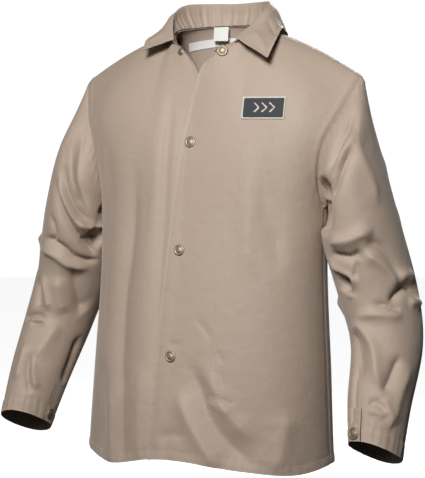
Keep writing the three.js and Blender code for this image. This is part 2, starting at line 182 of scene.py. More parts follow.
# ---- shape of the body and sleeves ----
# The jacket stands filled out, as on a wearer: rings round the body below the chest line, panels
# that roll over onto the shoulder seams above it, and sleeves lofted from armhole to cuff.
# All of it is worked out in millimetres on regular grids, one grid for each cut panel.
HEM_Z, CHEST_Z = -730.0, -300.0
ROUND, BODY_Y = 2.25, -28.0
HALF_WIDTH = [(-730, 221), (-600, 213), (-420, 204), (-300, 205)]
FRONT_DEPTH = [(-730, 158), (-600, 148), (-420, 122), (-300, 100)]
BACK_DEPTH = [(-730, 118), (-600, 114), (-420, 110), (-300, 108)]
NECK_POINT, SHOULDER_TIP, SHOULDER_RISE = (76, 2, -8), (259, 0, -92), 8.0
NECK_SHARE, SWING_X, SWING_SHARE = 0.3, 186.0, 0.75
EDGE_X = {"left": [(-730, -35), (-544, -30), (-373, -24), (-300, -20)],
          "right": [(-730, -14), (-544, -17), (-373, -20), (-300, -20)]}
ARMHOLE = [SHOULDER_TIP, (240, -40, -146), (216, -62, -203), (204, -52, -262), (205, BODY_Y, CHEST_Z),
           (209, 14, -272), (221, 42, -215), (241, 34, -145)]
FRONT_EDGE = [(-20, BODY_Y - 100, CHEST_Z), (-17, -121, -245), (-13, -108, -195), (-7, -94, -140),
              (1, -80, -86), (18, -74, -60), (35, -70, -43)]
FRONT_NECK = [(35, -70, -43), (56, -56, -34), (73, -28, -18), NECK_POINT]
BACK_NECK = [(0, 62, 0), (42, 54, -1), (66, 32, -4), NECK_POINT]
# centre, half width and half depth of a sleeve ring, and its tilts outwards and forwards in degrees
STATIONS = [((246, -22, -252), 74, 76, 58, 0), ((264, -24, -331), 64, 77, 30, 0),
            ((292, -10, -440), 62, 75, 12, 0), ((313, -25, -522), 57, 68, 6, 12),
            ((320, -78, -612), 49, 59, 3, 25)]
CUFF = {"left": ((325, -106, -680), 42, 50, -12, 20), "right": ((329, -112, -694), 42, 50, 3, 22)}


def along(rows, z):
    """Value at height z of rows of (z, value), joined smoothly."""
    xs, ys = np.array(rows, float).T
    z = np.clip(np.asarray(z, float), xs[0], xs[-1])
    slope = np.array([(ys[min(j + 1, len(xs) - 1)] - ys[max(j - 1, 0)])
                      / (xs[min(j + 1, len(xs) - 1)] - xs[max(j - 1, 0)]) for j in range(len(xs))])
    k = np.clip(np.searchsorted(xs, z, side="right") - 1, 0, len(xs) - 2)
    span = xs[k + 1] - xs[k]
    t = (z - xs[k]) / span
    return ((2 * t**3 - 3 * t**2 + 1) * ys[k] + (t**3 - 2 * t**2 + t) * span * slope[k]
            + (3 * t**2 - 2 * t**3) * ys[k + 1] + (t**3 - t**2) * span * slope[k + 1])


def spline(points, t, closed=False):
    """Smooth curve through points, t from 0 to 1 in equal steps from point to point."""
    p = np.array(points, float)
    n = len(p)
    if closed:
        q = np.vstack([p[-1], p, p[0], p[1]])
        x = (np.asarray(t, float) % 1.0) * n
        last = n - 1
    else:
        q = np.vstack([2 * p[0] - p[1], p, 2 * p[-1] - p[-2]])
        x = np.clip(np.asarray(t, float), 0, 1) * (n - 1)
        last = n - 2
    k = np.clip(np.floor(x).astype(int), 0, last)
    w = (x - k)[..., None]
    a, b, c, d = q[k], q[k + 1], q[k + 2], q[k + 3]
    return 0.5 * (2 * b + (c - a) * w + (2 * a - 5 * b + 4 * c - d) * w**2 + (3 * b - a - 3 * c + d) * w**3)


def power(value, exponent):
    return np.sign(value) * np.abs(value) ** exponent


def ring(angle, z):
    c, s = np.cos(angle), np.sin(angle)
    depth = np.where(c > 0, along(FRONT_DEPTH, z), along(BACK_DEPTH, z))
    return np.stack([along(HALF_WIDTH, z) * power(s, 2 / ROUND), BODY_Y - depth * power(c, 2 / ROUND),
                     z + 0 * s], -1)


def angle_at(x, z):
    return np.arcsin(np.clip(power(x / along(HALF_WIDTH, z), ROUND / 2), -1, 1))


def front_angle(side, s, z):
    edge, swing = angle_at(along(EDGE_X[side], z), z), angle_at(SWING_X, z)
    near = edge + (swing - edge) * s / SWING_SHARE
    far = swing + (np.pi / 2 - swing) * (s - SWING_SHARE) / (1 - SWING_SHARE)
    return np.where(s < SWING_SHARE, near, far)


def shoulder(share):
    share = np.asarray(share, float)[..., None]
    p = np.array(NECK_POINT, float) * (1 - share) + np.array(SHOULDER_TIP, float) * share
    p[..., 2] += SHOULDER_RISE * np.sin(np.pi * share[..., 0])
    return p


def roll_over(foot, head, t):
    w = np.asarray(t, float) * np.pi / 2
    return np.stack([foot[..., 0] + (head[..., 0] - foot[..., 0]) * (1 - np.cos(w)),
                     head[..., 1] + (foot[..., 1] - head[..., 1]) * np.cos(w),
                     foot[..., 2] + (head[..., 2] - foot[..., 2]) * np.sin(w)], -1)


def top_line(neck, s):
    return np.where((s < NECK_SHARE)[..., None], spline(neck, s / NECK_SHARE),
                    shoulder(np.clip((s - NECK_SHARE) / (1 - NECK_SHARE), 0, 1)))


def upper(neck, foot, inner, outer, s, t):
    zero, one = 0 * s, 0 * s + 1
    p = roll_over(foot(s), top_line(neck, s), t)
    if inner is not None:
        p += (inner - roll_over(foot(zero), top_line(neck, zero), t)) * ((1 - s) ** 2)[..., None]
    return p + (outer - roll_over(foot(one), top_line(neck, one), t)) * (s**2)[..., None]


def front(side, s, v):
    """Front panel of the wearer's left side; v is -1 at the hem, 0 at the chest line, 1 at the top."""
    s, v = np.broadcast_arrays(np.asarray(s, float), np.asarray(v, float))
    z = CHEST_Z + (CHEST_Z - HEM_Z) * np.minimum(v, 0)
    t = np.clip(v, 0, 1)
    low = ring(front_angle(side, s, z), z)
    chest = CHEST_Z + 0 * s
    high = upper(FRONT_NECK, lambda k: ring(front_angle(side, k, chest), chest),
                 spline(FRONT_EDGE, t), spline(ARMHOLE, 0.5 * (1 - t), True), s, t)
    return np.where((v < 0)[..., None], low, high)


def back(u, v):
    u, v = np.broadcast_arrays(np.asarray(u, float), np.asarray(v, float))
    r, t = np.abs(u), np.clip(v, 0, 1)
    z = CHEST_Z + (CHEST_Z - HEM_Z) * np.minimum(v, 0)
    low = ring(np.pi * (1 - r / 2), z)
    chest = CHEST_Z + 0 * r
    high = upper(BACK_NECK, lambda k: ring(np.pi * (1 - k / 2), chest), None,
                 spline(ARMHOLE, 0.5 + 0.5 * t, True), r, t)
    p = np.where((v < 0)[..., None], low, high)
    p[..., 0] *= np.where(u < 0, -1, 1)
    return p


def sleeve_ring(side, k, degrees):
    if k < 0:
        return spline(ARMHOLE, degrees / 360, True)
    centre, across, deep, out, ahead = STATIONS[k] if k < len(STATIONS) else CUFF[side]
    a, out, ahead = np.radians(degrees), np.radians(out), np.radians(ahead)
    o = np.array([np.cos(out), 0, np.sin(out)])
    f = np.array([0, -np.cos(ahead), np.sin(ahead)])
    return np.array(centre, float) + np.cos(a)[..., None] * o * across + np.sin(a)[..., None] * f * deep


def sleeve(side, degrees, station):
    """Sleeve of the wearer's left side; degrees from the outside through the front, station 0 to 6."""
    degrees, station = np.broadcast_arrays(np.asarray(degrees, float), np.asarray(station, float))
    rings = [sleeve_ring(side, k, degrees) for k in range(-1, 6)]
    rings = np.stack([2 * rings[0] - rings[1], *rings, 2 * rings[-1] - rings[-2]])
    k = np.clip(np.floor(station).astype(int), 0, 5)
    w = (station - k)[..., None]
    a, b, c, d = (np.take_along_axis(rings, (k + i)[None, ..., None], 0)[0] for i in range(4))
    return 0.5 * (2 * b + (c - a) * w + (2 * a - 5 * b + 4 * c - d) * w**2 + (3 * b - a - 3 * c + d) * w**3)


# ---- cut panels: hem, folds and creases ----
# Two fronts, one back and two sleeves of flame-resistant cotton twill, drawn about 2 mm thick.
# Each is a grid of cells a few millimetres wide. The folds are pressed into the cloth as strokes:
# a line lying on it, how far the cloth stands up or sinks there, and how wide the fold is.
COLUMNS, ROWS_LOW, ROWS_UP = 80, 88, 64
SLEEVE_ROWS, SLEEVE_COLUMNS = 132, 2 * ROWS_UP
UNDERLAP = 9.0  # how far the right front lies behind the left one
# how far the hem edge rides up, every 30 degrees from the front middle towards the wearer's left
HEM_RISE = [20, 9, 0, 2, -4, 2, 5, -3, -2, 12, 0, -3]
HEM_FADE = (-540.0, 190.0)
SLEEVE_DEPTH, BODY_DEPTH = 1.25, 1.45  # how strongly the folds are drawn
# how fast a fold falls off beside its line, and the shape of a ridge and of a valley
FALL_OFF, RIDGE, VALLEY = 1.35, 1.5, 1.35
FOLD_STEPS = 56  # points along a fold
HAND = {"left": 1, "right": -1}
SIDES = tuple(HAND)


def smooth(x):
    x = np.clip(x, 0, 1)
    return x * x * (3 - 2 * x)


def unit(v):
    return v / np.maximum(np.linalg.norm(v, axis=-1, keepdims=True), 1e-9)


class Panel:
    """A grid of cloth: place and outward normal of each point, in millimetres."""

    def __init__(self, place, facing, wrap=False):
        self.place, self.facing, self.wrap = place, facing, wrap
        self.rise = np.zeros(place.shape[:2])
        self.settle()

    def settle(self):
        """Moves the points by what was pressed so far and works out the normals again."""
        if hasattr(self, "normal"):
            self.place = self.place + self.normal * self.rise[..., None]
            self.rise = np.zeros_like(self.rise)
        p = self.place
        across = np.roll(p, -1, 1) - np.roll(p, 1, 1) if self.wrap else np.gradient(p, axis=1)
        self.normal = unit(np.cross(across, np.gradient(p, axis=0))) * self.facing

    def distance(self, path):
        """Distance of each point to a path, the side of it, and the share of the path it is at."""
        flat, step = self.place.reshape(-1, 3), np.gradient(path, axis=0)
        length = np.linalg.norm(step, axis=1)
        tangent = step / length[:, None]
        nearest = ((flat[:, None] - path) ** 2).sum(-1).argmin(1)
        gap, t = flat - path[nearest], tangent[nearest]
        run = np.clip((gap * t).sum(1), -length[nearest] / 2, length[nearest] / 2)
        gap = gap - run[:, None] * t
        side = np.sign((gap * np.cross(t, self.normal.reshape(-1, 3))).sum(1))
        share = (nearest + run / length[nearest]) / (len(path) - 1)
        size = self.place.shape[:2]
        return np.linalg.norm(gap, axis=1).reshape(size), side.reshape(size), share.reshape(size)

    def press(self, path, height, width, lean=0.0, ends=0.25):
        """Raises the cloth along a path, or sinks it; lean makes one flank wider than the other."""
        away, side, share = self.distance(path)
        taper = smooth(np.minimum(share, 1 - share) / ends) if ends else 1.0
        reach = away / (width * (1 + lean * side))
        self.rise += height * taper * np.exp(-FALL_OFF * reach ** (RIDGE if height > 0 else VALLEY))

    def at(self, row, column, lift=0.0):
        """Point on the cloth at fractional row and column, lifted off it."""
        row, column = np.broadcast_arrays(np.asarray(row, float), np.asarray(column, float))
        rows, columns = self.place.shape[:2]
        row = np.clip(row, 0, rows - 1.0001)
        column = column % columns if self.wrap else np.clip(column, 0, columns - 1.0001)
        r, c = np.floor(row).astype(int), np.floor(column).astype(int)
        a, b, c2 = (row - r)[..., None], (column - c)[..., None], (c + 1) % columns

        def blend(grid):
            return ((1 - a) * ((1 - b) * grid[r, c] + b * grid[r, c2])
                    + a * ((1 - b) * grid[r + 1, c] + b * grid[r + 1, c2]))

        normal = unit(blend(self.normal))
        return blend(self.place) + normal * np.asarray(lift)[..., None], normal


def hem_shift(place, turn, height):
    """Lets the hem edge rise and fall, and ripple in and out, round the body."""
    fade = smooth((HEM_FADE[0] - height) / HEM_FADE[1])
    rise = spline([(h, 0, 0) for h in HEM_RISE], turn / (2 * np.pi), True)[..., 0]
    ripple = 3.0 * np.sin(3 * turn + 0.9) + 2.5 * np.sin(5 * turn + 2.2) + 1.2 * np.sin(9 * turn)
    out = unit((place - [0, BODY_Y, 0]) * [1, 1, 0])
    return place + out * (ripple * fade)[..., None] + (rise * fade)[..., None] * [0, 0, 1]


heights = np.concatenate([np.linspace(-1, 0, ROWS_LOW + 1), np.linspace(0, 1, ROWS_UP + 1)[1:]])
shares = np.linspace(0, 1, COLUMNS + 1)
below = CHEST_Z + (CHEST_Z - HEM_Z) * np.minimum(heights, 0)
panels = {}
for side, hand in HAND.items():
    s, v = np.meshgrid(shares, heights)
    z = np.broadcast_to(below[:, None], s.shape)
    place = hem_shift(front(side, s, v) * [hand, 1, 1], hand * front_angle(side, s, z), z)
    panels[f"{side}_front"] = Panel(place, hand)
u, v = np.meshgrid(np.linspace(-1, 1, 2 * COLUMNS + 1), heights)
z = np.broadcast_to(below[:, None], u.shape)
panels["back"] = Panel(hem_shift(back(u, v), np.pi * np.where(u < 0, -1, 1) * (1 - np.abs(u) / 2), z), -1)

# rows of a sleeve are spaced evenly along its length
trial = np.linspace(0, 6, 241)
lines = sleeve("left", np.array([0, 90, 180, 270])[:, None], trial)
reach = np.concatenate([[0], np.linalg.norm(np.diff(lines, axis=1), axis=-1).mean(0).cumsum()])
stations = np.interp(np.linspace(0, reach[-1], SLEEVE_ROWS + 1), reach, trial)
degrees = np.arange(SLEEVE_COLUMNS) * 360 / SLEEVE_COLUMNS
for side, hand in HAND.items():
    turn, station = np.meshgrid(degrees, stations)
    panels[f"{side}_sleeve"] = Panel(sleeve(side, turn, station) * [hand, 1, 1], hand, wrap=True)

# Sleeve folds as (degrees, station) lines with height, width and sometimes lean. Degrees run from the
# outside through the front, 180 is the underarm; stations run from armhole 0 to cuff 6.
SLEEVE_FOLDS = {
    "left": [
        ([(12, 0.3), (38, 1.0), (30, 1.6), (32, 2.0)], 4, 14),
        ([(26, 0.3), (45, 0.5), (62, 0.55), (82, 0.66), (104, 0.7)], -8, 9),
        ([(34, 0.72), (50, 0.8), (65, 0.84), (86, 0.95)], 5, 8),
        ([(44, 0.95), (60, 1.03), (75, 1.12), (92, 1.25), (108, 1.3)], -8, 9),
        ([(116, 0.3), (130, 0.75), (138, 1.3), (148, 1.8)], -38, 25),
        ([(150, 0.5), (160, 1.0), (150, 1.6)], -10, 22),
        ([(122, 2.05), (104, 2.14), (86, 2.2), (66, 2.2), (44, 2.2)], 8, 12),
        ([(126, 2.25), (104, 2.36), (86, 2.42), (68, 2.38)], -9, 8, 0.2),
        ([(66, 2.3), (46, 2.4), (33, 2.6), (22, 2.95)], -7, 10),
        ([(72, 2.42), (56, 2.55), (42, 2.75), (34, 3.0)], 6, 10),
        ([(136, 2.2), (122, 2.48), (97, 2.68), (104, 2.86), (118, 3.0)], 6, 6),
        ([(128, 2.66), (112, 2.76), (116, 2.9)], -16, 14),
        ([(81, 2.48), (88, 2.62), (95, 2.7)], -5, 6),
        ([(58, 3.16), (45, 3.1), (35, 3.03), (22, 2.98), (8, 3.02), (-14, 3.1)], -11, 8),
        ([(30, 2.84), (12, 2.82), (-8, 2.9)], 5, 9),
        ([(24, 3.22), (8, 3.24), (-12, 3.3)], 6, 10),
        ([(80, 3.15), (62, 3.2), (50, 3.28), (38, 3.36)], -5, 5),
        ([(116, 3.36), (86, 3.36), (60, 3.42), (34, 3.5)], 5, 11),
        ([(120, 3.35), (107, 3.65), (90, 4.1), (80, 4.55), (66, 4.88)], 7, 12),
        ([(132, 3.7), (120, 4.2), (106, 4.75)], -7, 15),
        ([(44, 4.2), (52, 4.6), (62, 4.92)], -8, 11),
        ([(20, 4.3), (32, 4.9), (38, 5.5)], 4, 14),
        ([(66, 5.0), (46, 5.25), (42, 5.6)], 4, 9),
        ([(90, 5.15), (72, 5.1), (50, 5.2)], -4, 6),
        ([(88, 5.3), (70, 5.27), (52, 5.36)], 3, 6),
        ([(124, 4.3), (122, 4.8), (121, 5.3), (120, 5.7)], -6, 5),
        ([(230, 3.1), (270, 3.3), (320, 3.3)], 6, 13), ([(200, 2.2), (240, 1.9), (280, 1.5)], -6, 13),
        ([(160, 2.9), (180, 3.3), (200, 3.9)], 6, 14), ([(320, 1.0), (310, 1.7), (325, 2.4)], 4, 16),
    ],
    "right": [
        ([(50, 0.2), (74, 0.3), (92, 0.5), (109, 0.8), (128, 1.05), (146, 1.5)], -5, 9),
        ([(60, 0.5), (84, 0.72), (104, 1.0), (124, 1.3)], 4, 9),
        ([(78, 0.9), (88, 1.15), (105, 1.38), (126, 1.62), (156, 1.72)], -6, 8),
        ([(74, 1.25), (98, 1.6), (120, 1.88), (146, 2.1)], 7, 8),
        ([(66, 1.35), (96, 1.8), (119, 2.05), (146, 2.3), (164, 2.46)], -11, 8, -0.2),
        ([(118, 1.84), (136, 1.9), (156, 1.84), (174, 1.75)], 6, 6),
        ([(140, 2.0), (154, 2.1), (170, 2.2)], -17, 15),
        ([(158, 1.0), (176, 1.4), (190, 1.9)], -9, 18),
        ([(68, 2.02), (84, 2.2), (86, 2.36), (66, 2.44)], -5, 6),
        ([(56, 2.46), (88, 2.42), (106, 2.44), (125, 2.53), (150, 2.56), (168, 2.52)], -9, 6),
        ([(50, 2.62), (90, 2.6), (120, 2.7), (152, 2.72)], 7, 9),
        ([(34, 2.5), (20, 2.6), (4, 2.55)], 6, 12), ([(50, 2.85), (20, 2.9), (-10, 2.85)], -6, 12),
        ([(120, 2.6), (134, 3.05), (150, 3.5), (168, 3.75)], -10, 16),
        ([(100, 2.9), (112, 3.4), (132, 3.9)], 5, 16),
        ([(72, 2.95), (90, 3.4), (107, 3.9)], 6, 9),
        ([(58, 3.05), (72, 3.5), (86, 3.85)], -7, 11),
        ([(44, 4.15), (75, 4.02), (108, 4.0)], -7, 6),
        ([(78, 4.2), (106, 4.16)], -5, 5), ([(70, 4.1), (104, 4.08)], 4, 4),
        ([(130, 4.0), (120, 4.5), (110, 4.9)], 5, 16),
        ([(80, 4.5), (84, 5.0), (82, 5.4)], 4, 9), ([(96, 4.75), (107, 5.2), (126, 5.62)], -7, 8),
        ([(104, 4.75), (118, 5.2), (134, 5.5)], 5, 9),
        ([(176, 4.2), (184, 4.7), (188, 5.2)], -8, 12),
        ([(230, 3.1), (270, 3.2), (320, 3.3)], 6, 13), ([(220, 2.0), (250, 1.8), (280, 1.5)], -6, 13),
    ],
}
BOTH_SLEEVES = [
    ([(250, 2.6), (290, 2.8), (330, 2.9)], -7, 11), ([(220, 3.6), (250, 3.8), (300, 3.7)], -7, 12),
    ([(300, 4.3), (280, 4.9), (250, 5.4)], -5, 13), ([(210, 1.2), (250, 0.9), (290, 0.7)], -6, 12),
]
for side, hand in HAND.items():
    panel = panels[f"{side}_sleeve"]
    for points, height, width, *lean in SLEEVE_FOLDS[side] + BOTH_SLEEVES:
        line = spline([(d, k, 0) for d, k in points], np.linspace(0, 1, FOLD_STEPS))
        panel.press(sleeve(side, line[:, 0], line[:, 1]) * [hand, 1, 1], height * SLEEVE_DEPTH, width,
                    sum(lean) * hand)

# the cuffs dip at the back and ride up at the front, so that their openings show
CUFF_DIP, CUFF_FACING, CUFF_DIP_FROM = 11.0, np.array([0.45, -0.89, 0]), 5.1
for side in SIDES:
    panel = panels[f"{side}_sleeve"]
    near_cuff = smooth((stations - CUFF_DIP_FROM) / (6 - CUFF_DIP_FROM))[:, None]
    panel.place[..., 2] += CUFF_DIP * (panel.normal @ CUFF_FACING) * near_cuff

# Body folds as (x, z) lines on the outside of a front, or on the back.
BODY_FOLDS = {
    "left_front": [
        ([(124, -222), (138, -290), (152, -345), (166, -400)], -6, 15),
        ([(100, -240), (108, -320), (118, -420)], 3, 18),
        ([(38, -480), (52, -497), (68, -515)], -1.4, 5),
        ([(74, -530), (88, -548)], -1.2, 4), ([(82, -560), (90, -588)], -1, 4),
        ([(26, -540), (52, -594), (72, -640), (104, -680), (150, -716)], -6, 18),
        ([(52, -540), (78, -600), (106, -640), (146, -676)], 4, 16),
        ([(8, -590), (34, -640), (66, -690), (90, -722)], 5, 16),
        ([(-24, -680), (8, -668), (34, -672)], -1.8, 12),
        ([(64, -598), (84, -606), (108, -616)], -2, 4), ([(60, -612), (86, -622), (104, -628)], 1.5, 5),
        ([(-14, -527), (4, -525), (20, -521)], -1.5, 4), ([(-10, -359), (10, -357)], -1, 4),
        ([(182, -620), (176, -680), (168, -730)], 4, 24),
        ([(150, -180), (120, -190), (92, -182)], -2, 14),
    ],
    "right_front": [
        ([(-96, -226), (-102, -300), (-106, -390), (-112, -450), (-110, -560), (-104, -640)], -8, 25),
        ([(-44, -96), (-43, -200), (-41, -330), (-38, -470), (-36, -640)], -3.6, 9),
        ([(-124, -238), (-96, -236), (-70, -252)], -3, 7), ([(-70, -252), (-74, -300), (-84, -340)], -2, 8),
        ([(-60, -560), (-58, -650), (-54, -735)], 3, 24),
        ([(-104, -560), (-98, -650), (-92, -740)], -3.5, 20),
        ([(-128, -600), (-124, -680), (-118, -745)], 3, 18),
        ([(-160, -300), (-170, -420), (-168, -540)], -3, 26),
        ([(-160, -560), (-154, -640), (-150, -742)], -3, 18),
        ([(-180, -240), (-165, -250), (-150, -300)], -4, 14),
    ],
    "back": [
        ([(-120, -150), (-100, -300), (-110, -450)], -6, 26),
        ([(115, -160), (95, -300), (100, -460)], -6, 26),
        ([(0, -320), (10, -480), (-6, -640), (-10, -735)], -7, 30),
        ([(-70, -460), (-84, -600), (-80, -735)], 5, 22), ([(80, -480), (92, -620), (86, -735)], 5, 22),
        ([(150, -420), (146, -560), (156, -735)], -6, 20),
        ([(-150, -420), (-146, -580), (-156, -735)], -6, 20),
        ([(-170, -170), (-120, -200), (-60, -190)], -4, 16),
        ([(170, -170), (120, -195), (60, -185)], -4, 16),
        ([(-186, -250), (-150, -330), (-120, -420)], -5, 16),
        ([(186, -250), (150, -335), (124, -420)], -5, 16),
    ],
}
for name, folds in BODY_FOLDS.items():
    panel = panels[name]
    for points, height, width in folds:
        line = spline([(x, 0, z) for x, z in points], np.linspace(0, 1, FOLD_STEPS))
        flat = panel.place.reshape(-1, 3)
        nearest = ((flat[:, None, [0, 2]] - line[:, [0, 2]]) ** 2).sum(-1).argmin(0)
        line[:, 1] = flat[nearest, 1]
        panel.press(line, height * BODY_DEPTH, width)
for panel in panels.values():
    panel.settle()

# the cloth runs over the chest line without a crease, except where the sleeves are sewn in
BLEND_ROWS, HELD_SHARE, PASSES, PASS_SHARE = 14.0, 0.15, 90, 0.8
BODY_PANELS = ("left_front", "right_front", "back")
for name in BODY_PANELS:
    panel = panels[name]
    near = np.exp(-((np.arange(len(heights)) - ROWS_LOW) / BLEND_ROWS) ** 2)[1:-1, None]
    across = np.linspace(0, 1, panel.place.shape[1])
    held = smooth((1 - across) / HELD_SHARE) * (smooth(across / HELD_SHARE) if name == "back" else 1)
    for _ in range(PASSES):
        middle = (panel.place[2:] + panel.place[:-2]) / 2
        panel.place[1:-1] += ((middle - panel.place[1:-1]) * (near * held)[..., None]) * PASS_SHARE
    panel.settle()

# the right front goes behind the left one near the closing edge, and the free edge of the left one
# stands off it; both fade out towards the open neck
CURL = 2.6
fade_up = 1 - smooth((heights - 0.35) / 0.4)
tuck, curl = panels["right_front"], panels["left_front"]
tuck.rise = -UNDERLAP * (1 - smooth((-tuck.place[..., 0] - 6) / 62)) * fade_up[:, None]
tuck.settle()
curl.rise = CURL * (1 - smooth(curl.place[..., 0] / 16 + 1.1)) * fade_up[:, None]
curl.settle()


# ---- seams and edges pressed into the cloth ----
# Felled seams sink a little where two panels are sewn together. The hem, the closing edges and
# the cuffs are turned under twice, so the cloth is thicker there and puckers at the stitching.
HEM_TURN, EDGE_TURN, CUFF_TURN = 13.0, 7.0, 24.0


def length_from(place, axis):
    """Length of cloth from the first row or column to each point."""
    gaps = np.linalg.norm(np.diff(place, axis=axis), axis=-1).cumsum(axis)
    pad = [(0, 0), (0, 0)]
    pad[axis] = (1, 0)
    return np.pad(gaps, pad)


def seam(panel, path, depth, width):
    panel.press(path, -depth, width, ends=0)


def turned(panel, away, run, turn, height=0.7, pucker=0.35):
    """A doubled edge: raised up to its stitching, then a pinch with small puckers along it."""
    panel.rise += height * (1 - smooth((away - turn + 1.5) / 3))
    panel.rise -= 0.8 * np.exp(-(((away - turn) / 2.2) ** 2))
    wave = np.sin(run / 2.1) + 0.7 * np.sin(run / 3.7 + 1) + 0.6 * np.sin(run / 7.9 + 2)
    panel.rise += pucker * wave * np.exp(-(((away - turn * 0.6) / (turn * 0.8)) ** 2))


for name in BODY_PANELS:
    panel = panels[name]
    up, over = length_from(panel.place, 0), length_from(panel.place, 1)
    turned(panel, up, over, HEM_TURN)
    if name == "back":
        for column in (0, -1):
            seam(panel, panel.place[:, column], 1.2, 4)
    else:
        turned(panel, over, up, EDGE_TURN, 0.6, 0.2)
        seam(panel, panel.place[:, -1], 1.2, 4)
    top = panel.place[-1]
    seam(panel, top[top[:, 0] * (-1 if name == "right_front" else 1) > 60]
         if name != "back" else top, 1.0, 4)
for side in SIDES:
    sleeve_panel, body_front = panels[f"{side}_sleeve"], panels[f"{side}_front"]
    down, round_it = length_from(sleeve_panel.place, 0), length_from(sleeve_panel.place, 1)
    sleeve_panel.rise -= 1.6 * np.exp(-((down / 5) ** 2))
    sleeve_panel.rise += 0.5 * np.sin(round_it / 2.6) * np.exp(-(((down - 8) / 9) ** 2))
    turned(sleeve_panel, down[-1] - down, round_it, CUFF_TURN, 0.6, 0.4)
    for panel, column in ((body_front, -1), (panels["back"], -1 if side == "left" else 0)):
        seam(panel, panel.place[ROWS_LOW:, column], 1.6, 4.5)
        away = panel.distance(panel.place[ROWS_LOW:, column])[0]
        panel.rise += 0.8 * np.exp(-(((away - 9) / 5) ** 2))
for panel in panels.values():
    panel.settle()
# sewn panels share their edge points
for side, column in (("left", -1), ("right", 0)):
    body_front, rear, tube = panels[f"{side}_front"], panels["back"], panels[f"{side}_sleeve"]
    for row in range(ROWS_UP + 1):
        tube_front, tube_back = (ROWS_UP - row) % SLEEVE_COLUMNS, (ROWS_UP + row) % SLEEVE_COLUMNS
        for panel, place, spot in ((body_front, -1, tube_front), (rear, column, tube_back)):
            panel.place[ROWS_LOW + row, place] = tube.place[0, spot]
    side_seam = (body_front.place[:ROWS_LOW, -1] + rear.place[:ROWS_LOW, column]) / 2
    body_front.place[:ROWS_LOW, -1] = rear.place[:ROWS_LOW, column] = side_seam
for panel in panels.values():
    panel.settle()


# ---- looks of the cloth ----
# Khaki cotton sateen: a fine slanting twill, slightly uneven dye, a soft sheen, and edges that
# rub a little paler along the folds of the hem, the closing and the collar.
KHAKI, KHAKI_DEEP = (0.425, 0.330, 0.262, 1), (0.380, 0.292, 0.226, 1)
KHAKI_SHADE, KHAKI_RUBBED = tuple(0.72 * c for c in KHAKI_DEEP[:3]) + (1,), (0.53, 0.43, 0.35, 1)
TWILL_PITCH, CRUMPLE = 0.0011, 0.018


def khaki_twill():
    made, tree, shader = material("khaki_twill")
    cloth = node(tree, "ShaderNodeUVMap", {"uv_map": "cloth"})
    place = node(tree, "ShaderNodeTexCoord", out=3)
    slant = node(tree, "ShaderNodeMapping", None, Vector=cloth, Rotation=(0, 0, 1.08))
    ribs = node(tree, "ShaderNodeTexWave", {"wave_type": "BANDS", "bands_direction": "X"}, Vector=slant,
                Scale=0.314 / TWILL_PITCH, Distortion=0.6, Detail=1.0, Detail_Scale=1.5, out=1)
    fibre = node(tree, "ShaderNodeTexNoise", None, Vector=cloth, Scale=900.0, Detail=2.0)
    broad = node(tree, "ShaderNodeTexNoise", None, Vector=place, Scale=9.0, Detail=4.0, Roughness=0.6)
    slub = node(tree, "ShaderNodeTexNoise", None, Scale=60.0, Detail=3.0,
                Vector=node(tree, "ShaderNodeMapping", None, Vector=cloth, Scale=(1, 0.18, 1)))
    crumple = node(tree, "ShaderNodeTexNoise", None, Vector=place, Scale=1 / CRUMPLE, Detail=3.0,
                   Roughness=0.55)
    edge = node(tree, "ShaderNodeAttribute", {"attribute_name": "edge"}, out=2)
    tone = mix(tree, broad * 0.55 + slub * 0.3 + fibre * 0.2 - 0.05, KHAKI_DEEP, KHAKI)
    tone = mix(tree, edge * (0.1 + 0.35 * slub), tone, KHAKI_RUBBED)
    tone = mix(tree, (1 - ribs) * 0.16, tone, KHAKI_SHADE)
    weave_bump = node(tree, "ShaderNodeBump", None, 0.22, 0.0004, Height=ribs + fibre * 0.6)
    soft_bump = node(tree, "ShaderNodeBump", None, 0.3, 0.004, Height=crumple, Normal=weave_bump)
    paint(tree, shader, Base_Color=tone, Roughness=0.5 + 0.14 * broad, Normal=soft_bump,
          Sheen_Weight=0.25, Sheen_Roughness=0.45, Sheen_Tint=(1.0, 0.95, 0.88, 1),
          Specular_IOR_Level=0.42)
    return made


khaki = khaki_twill()


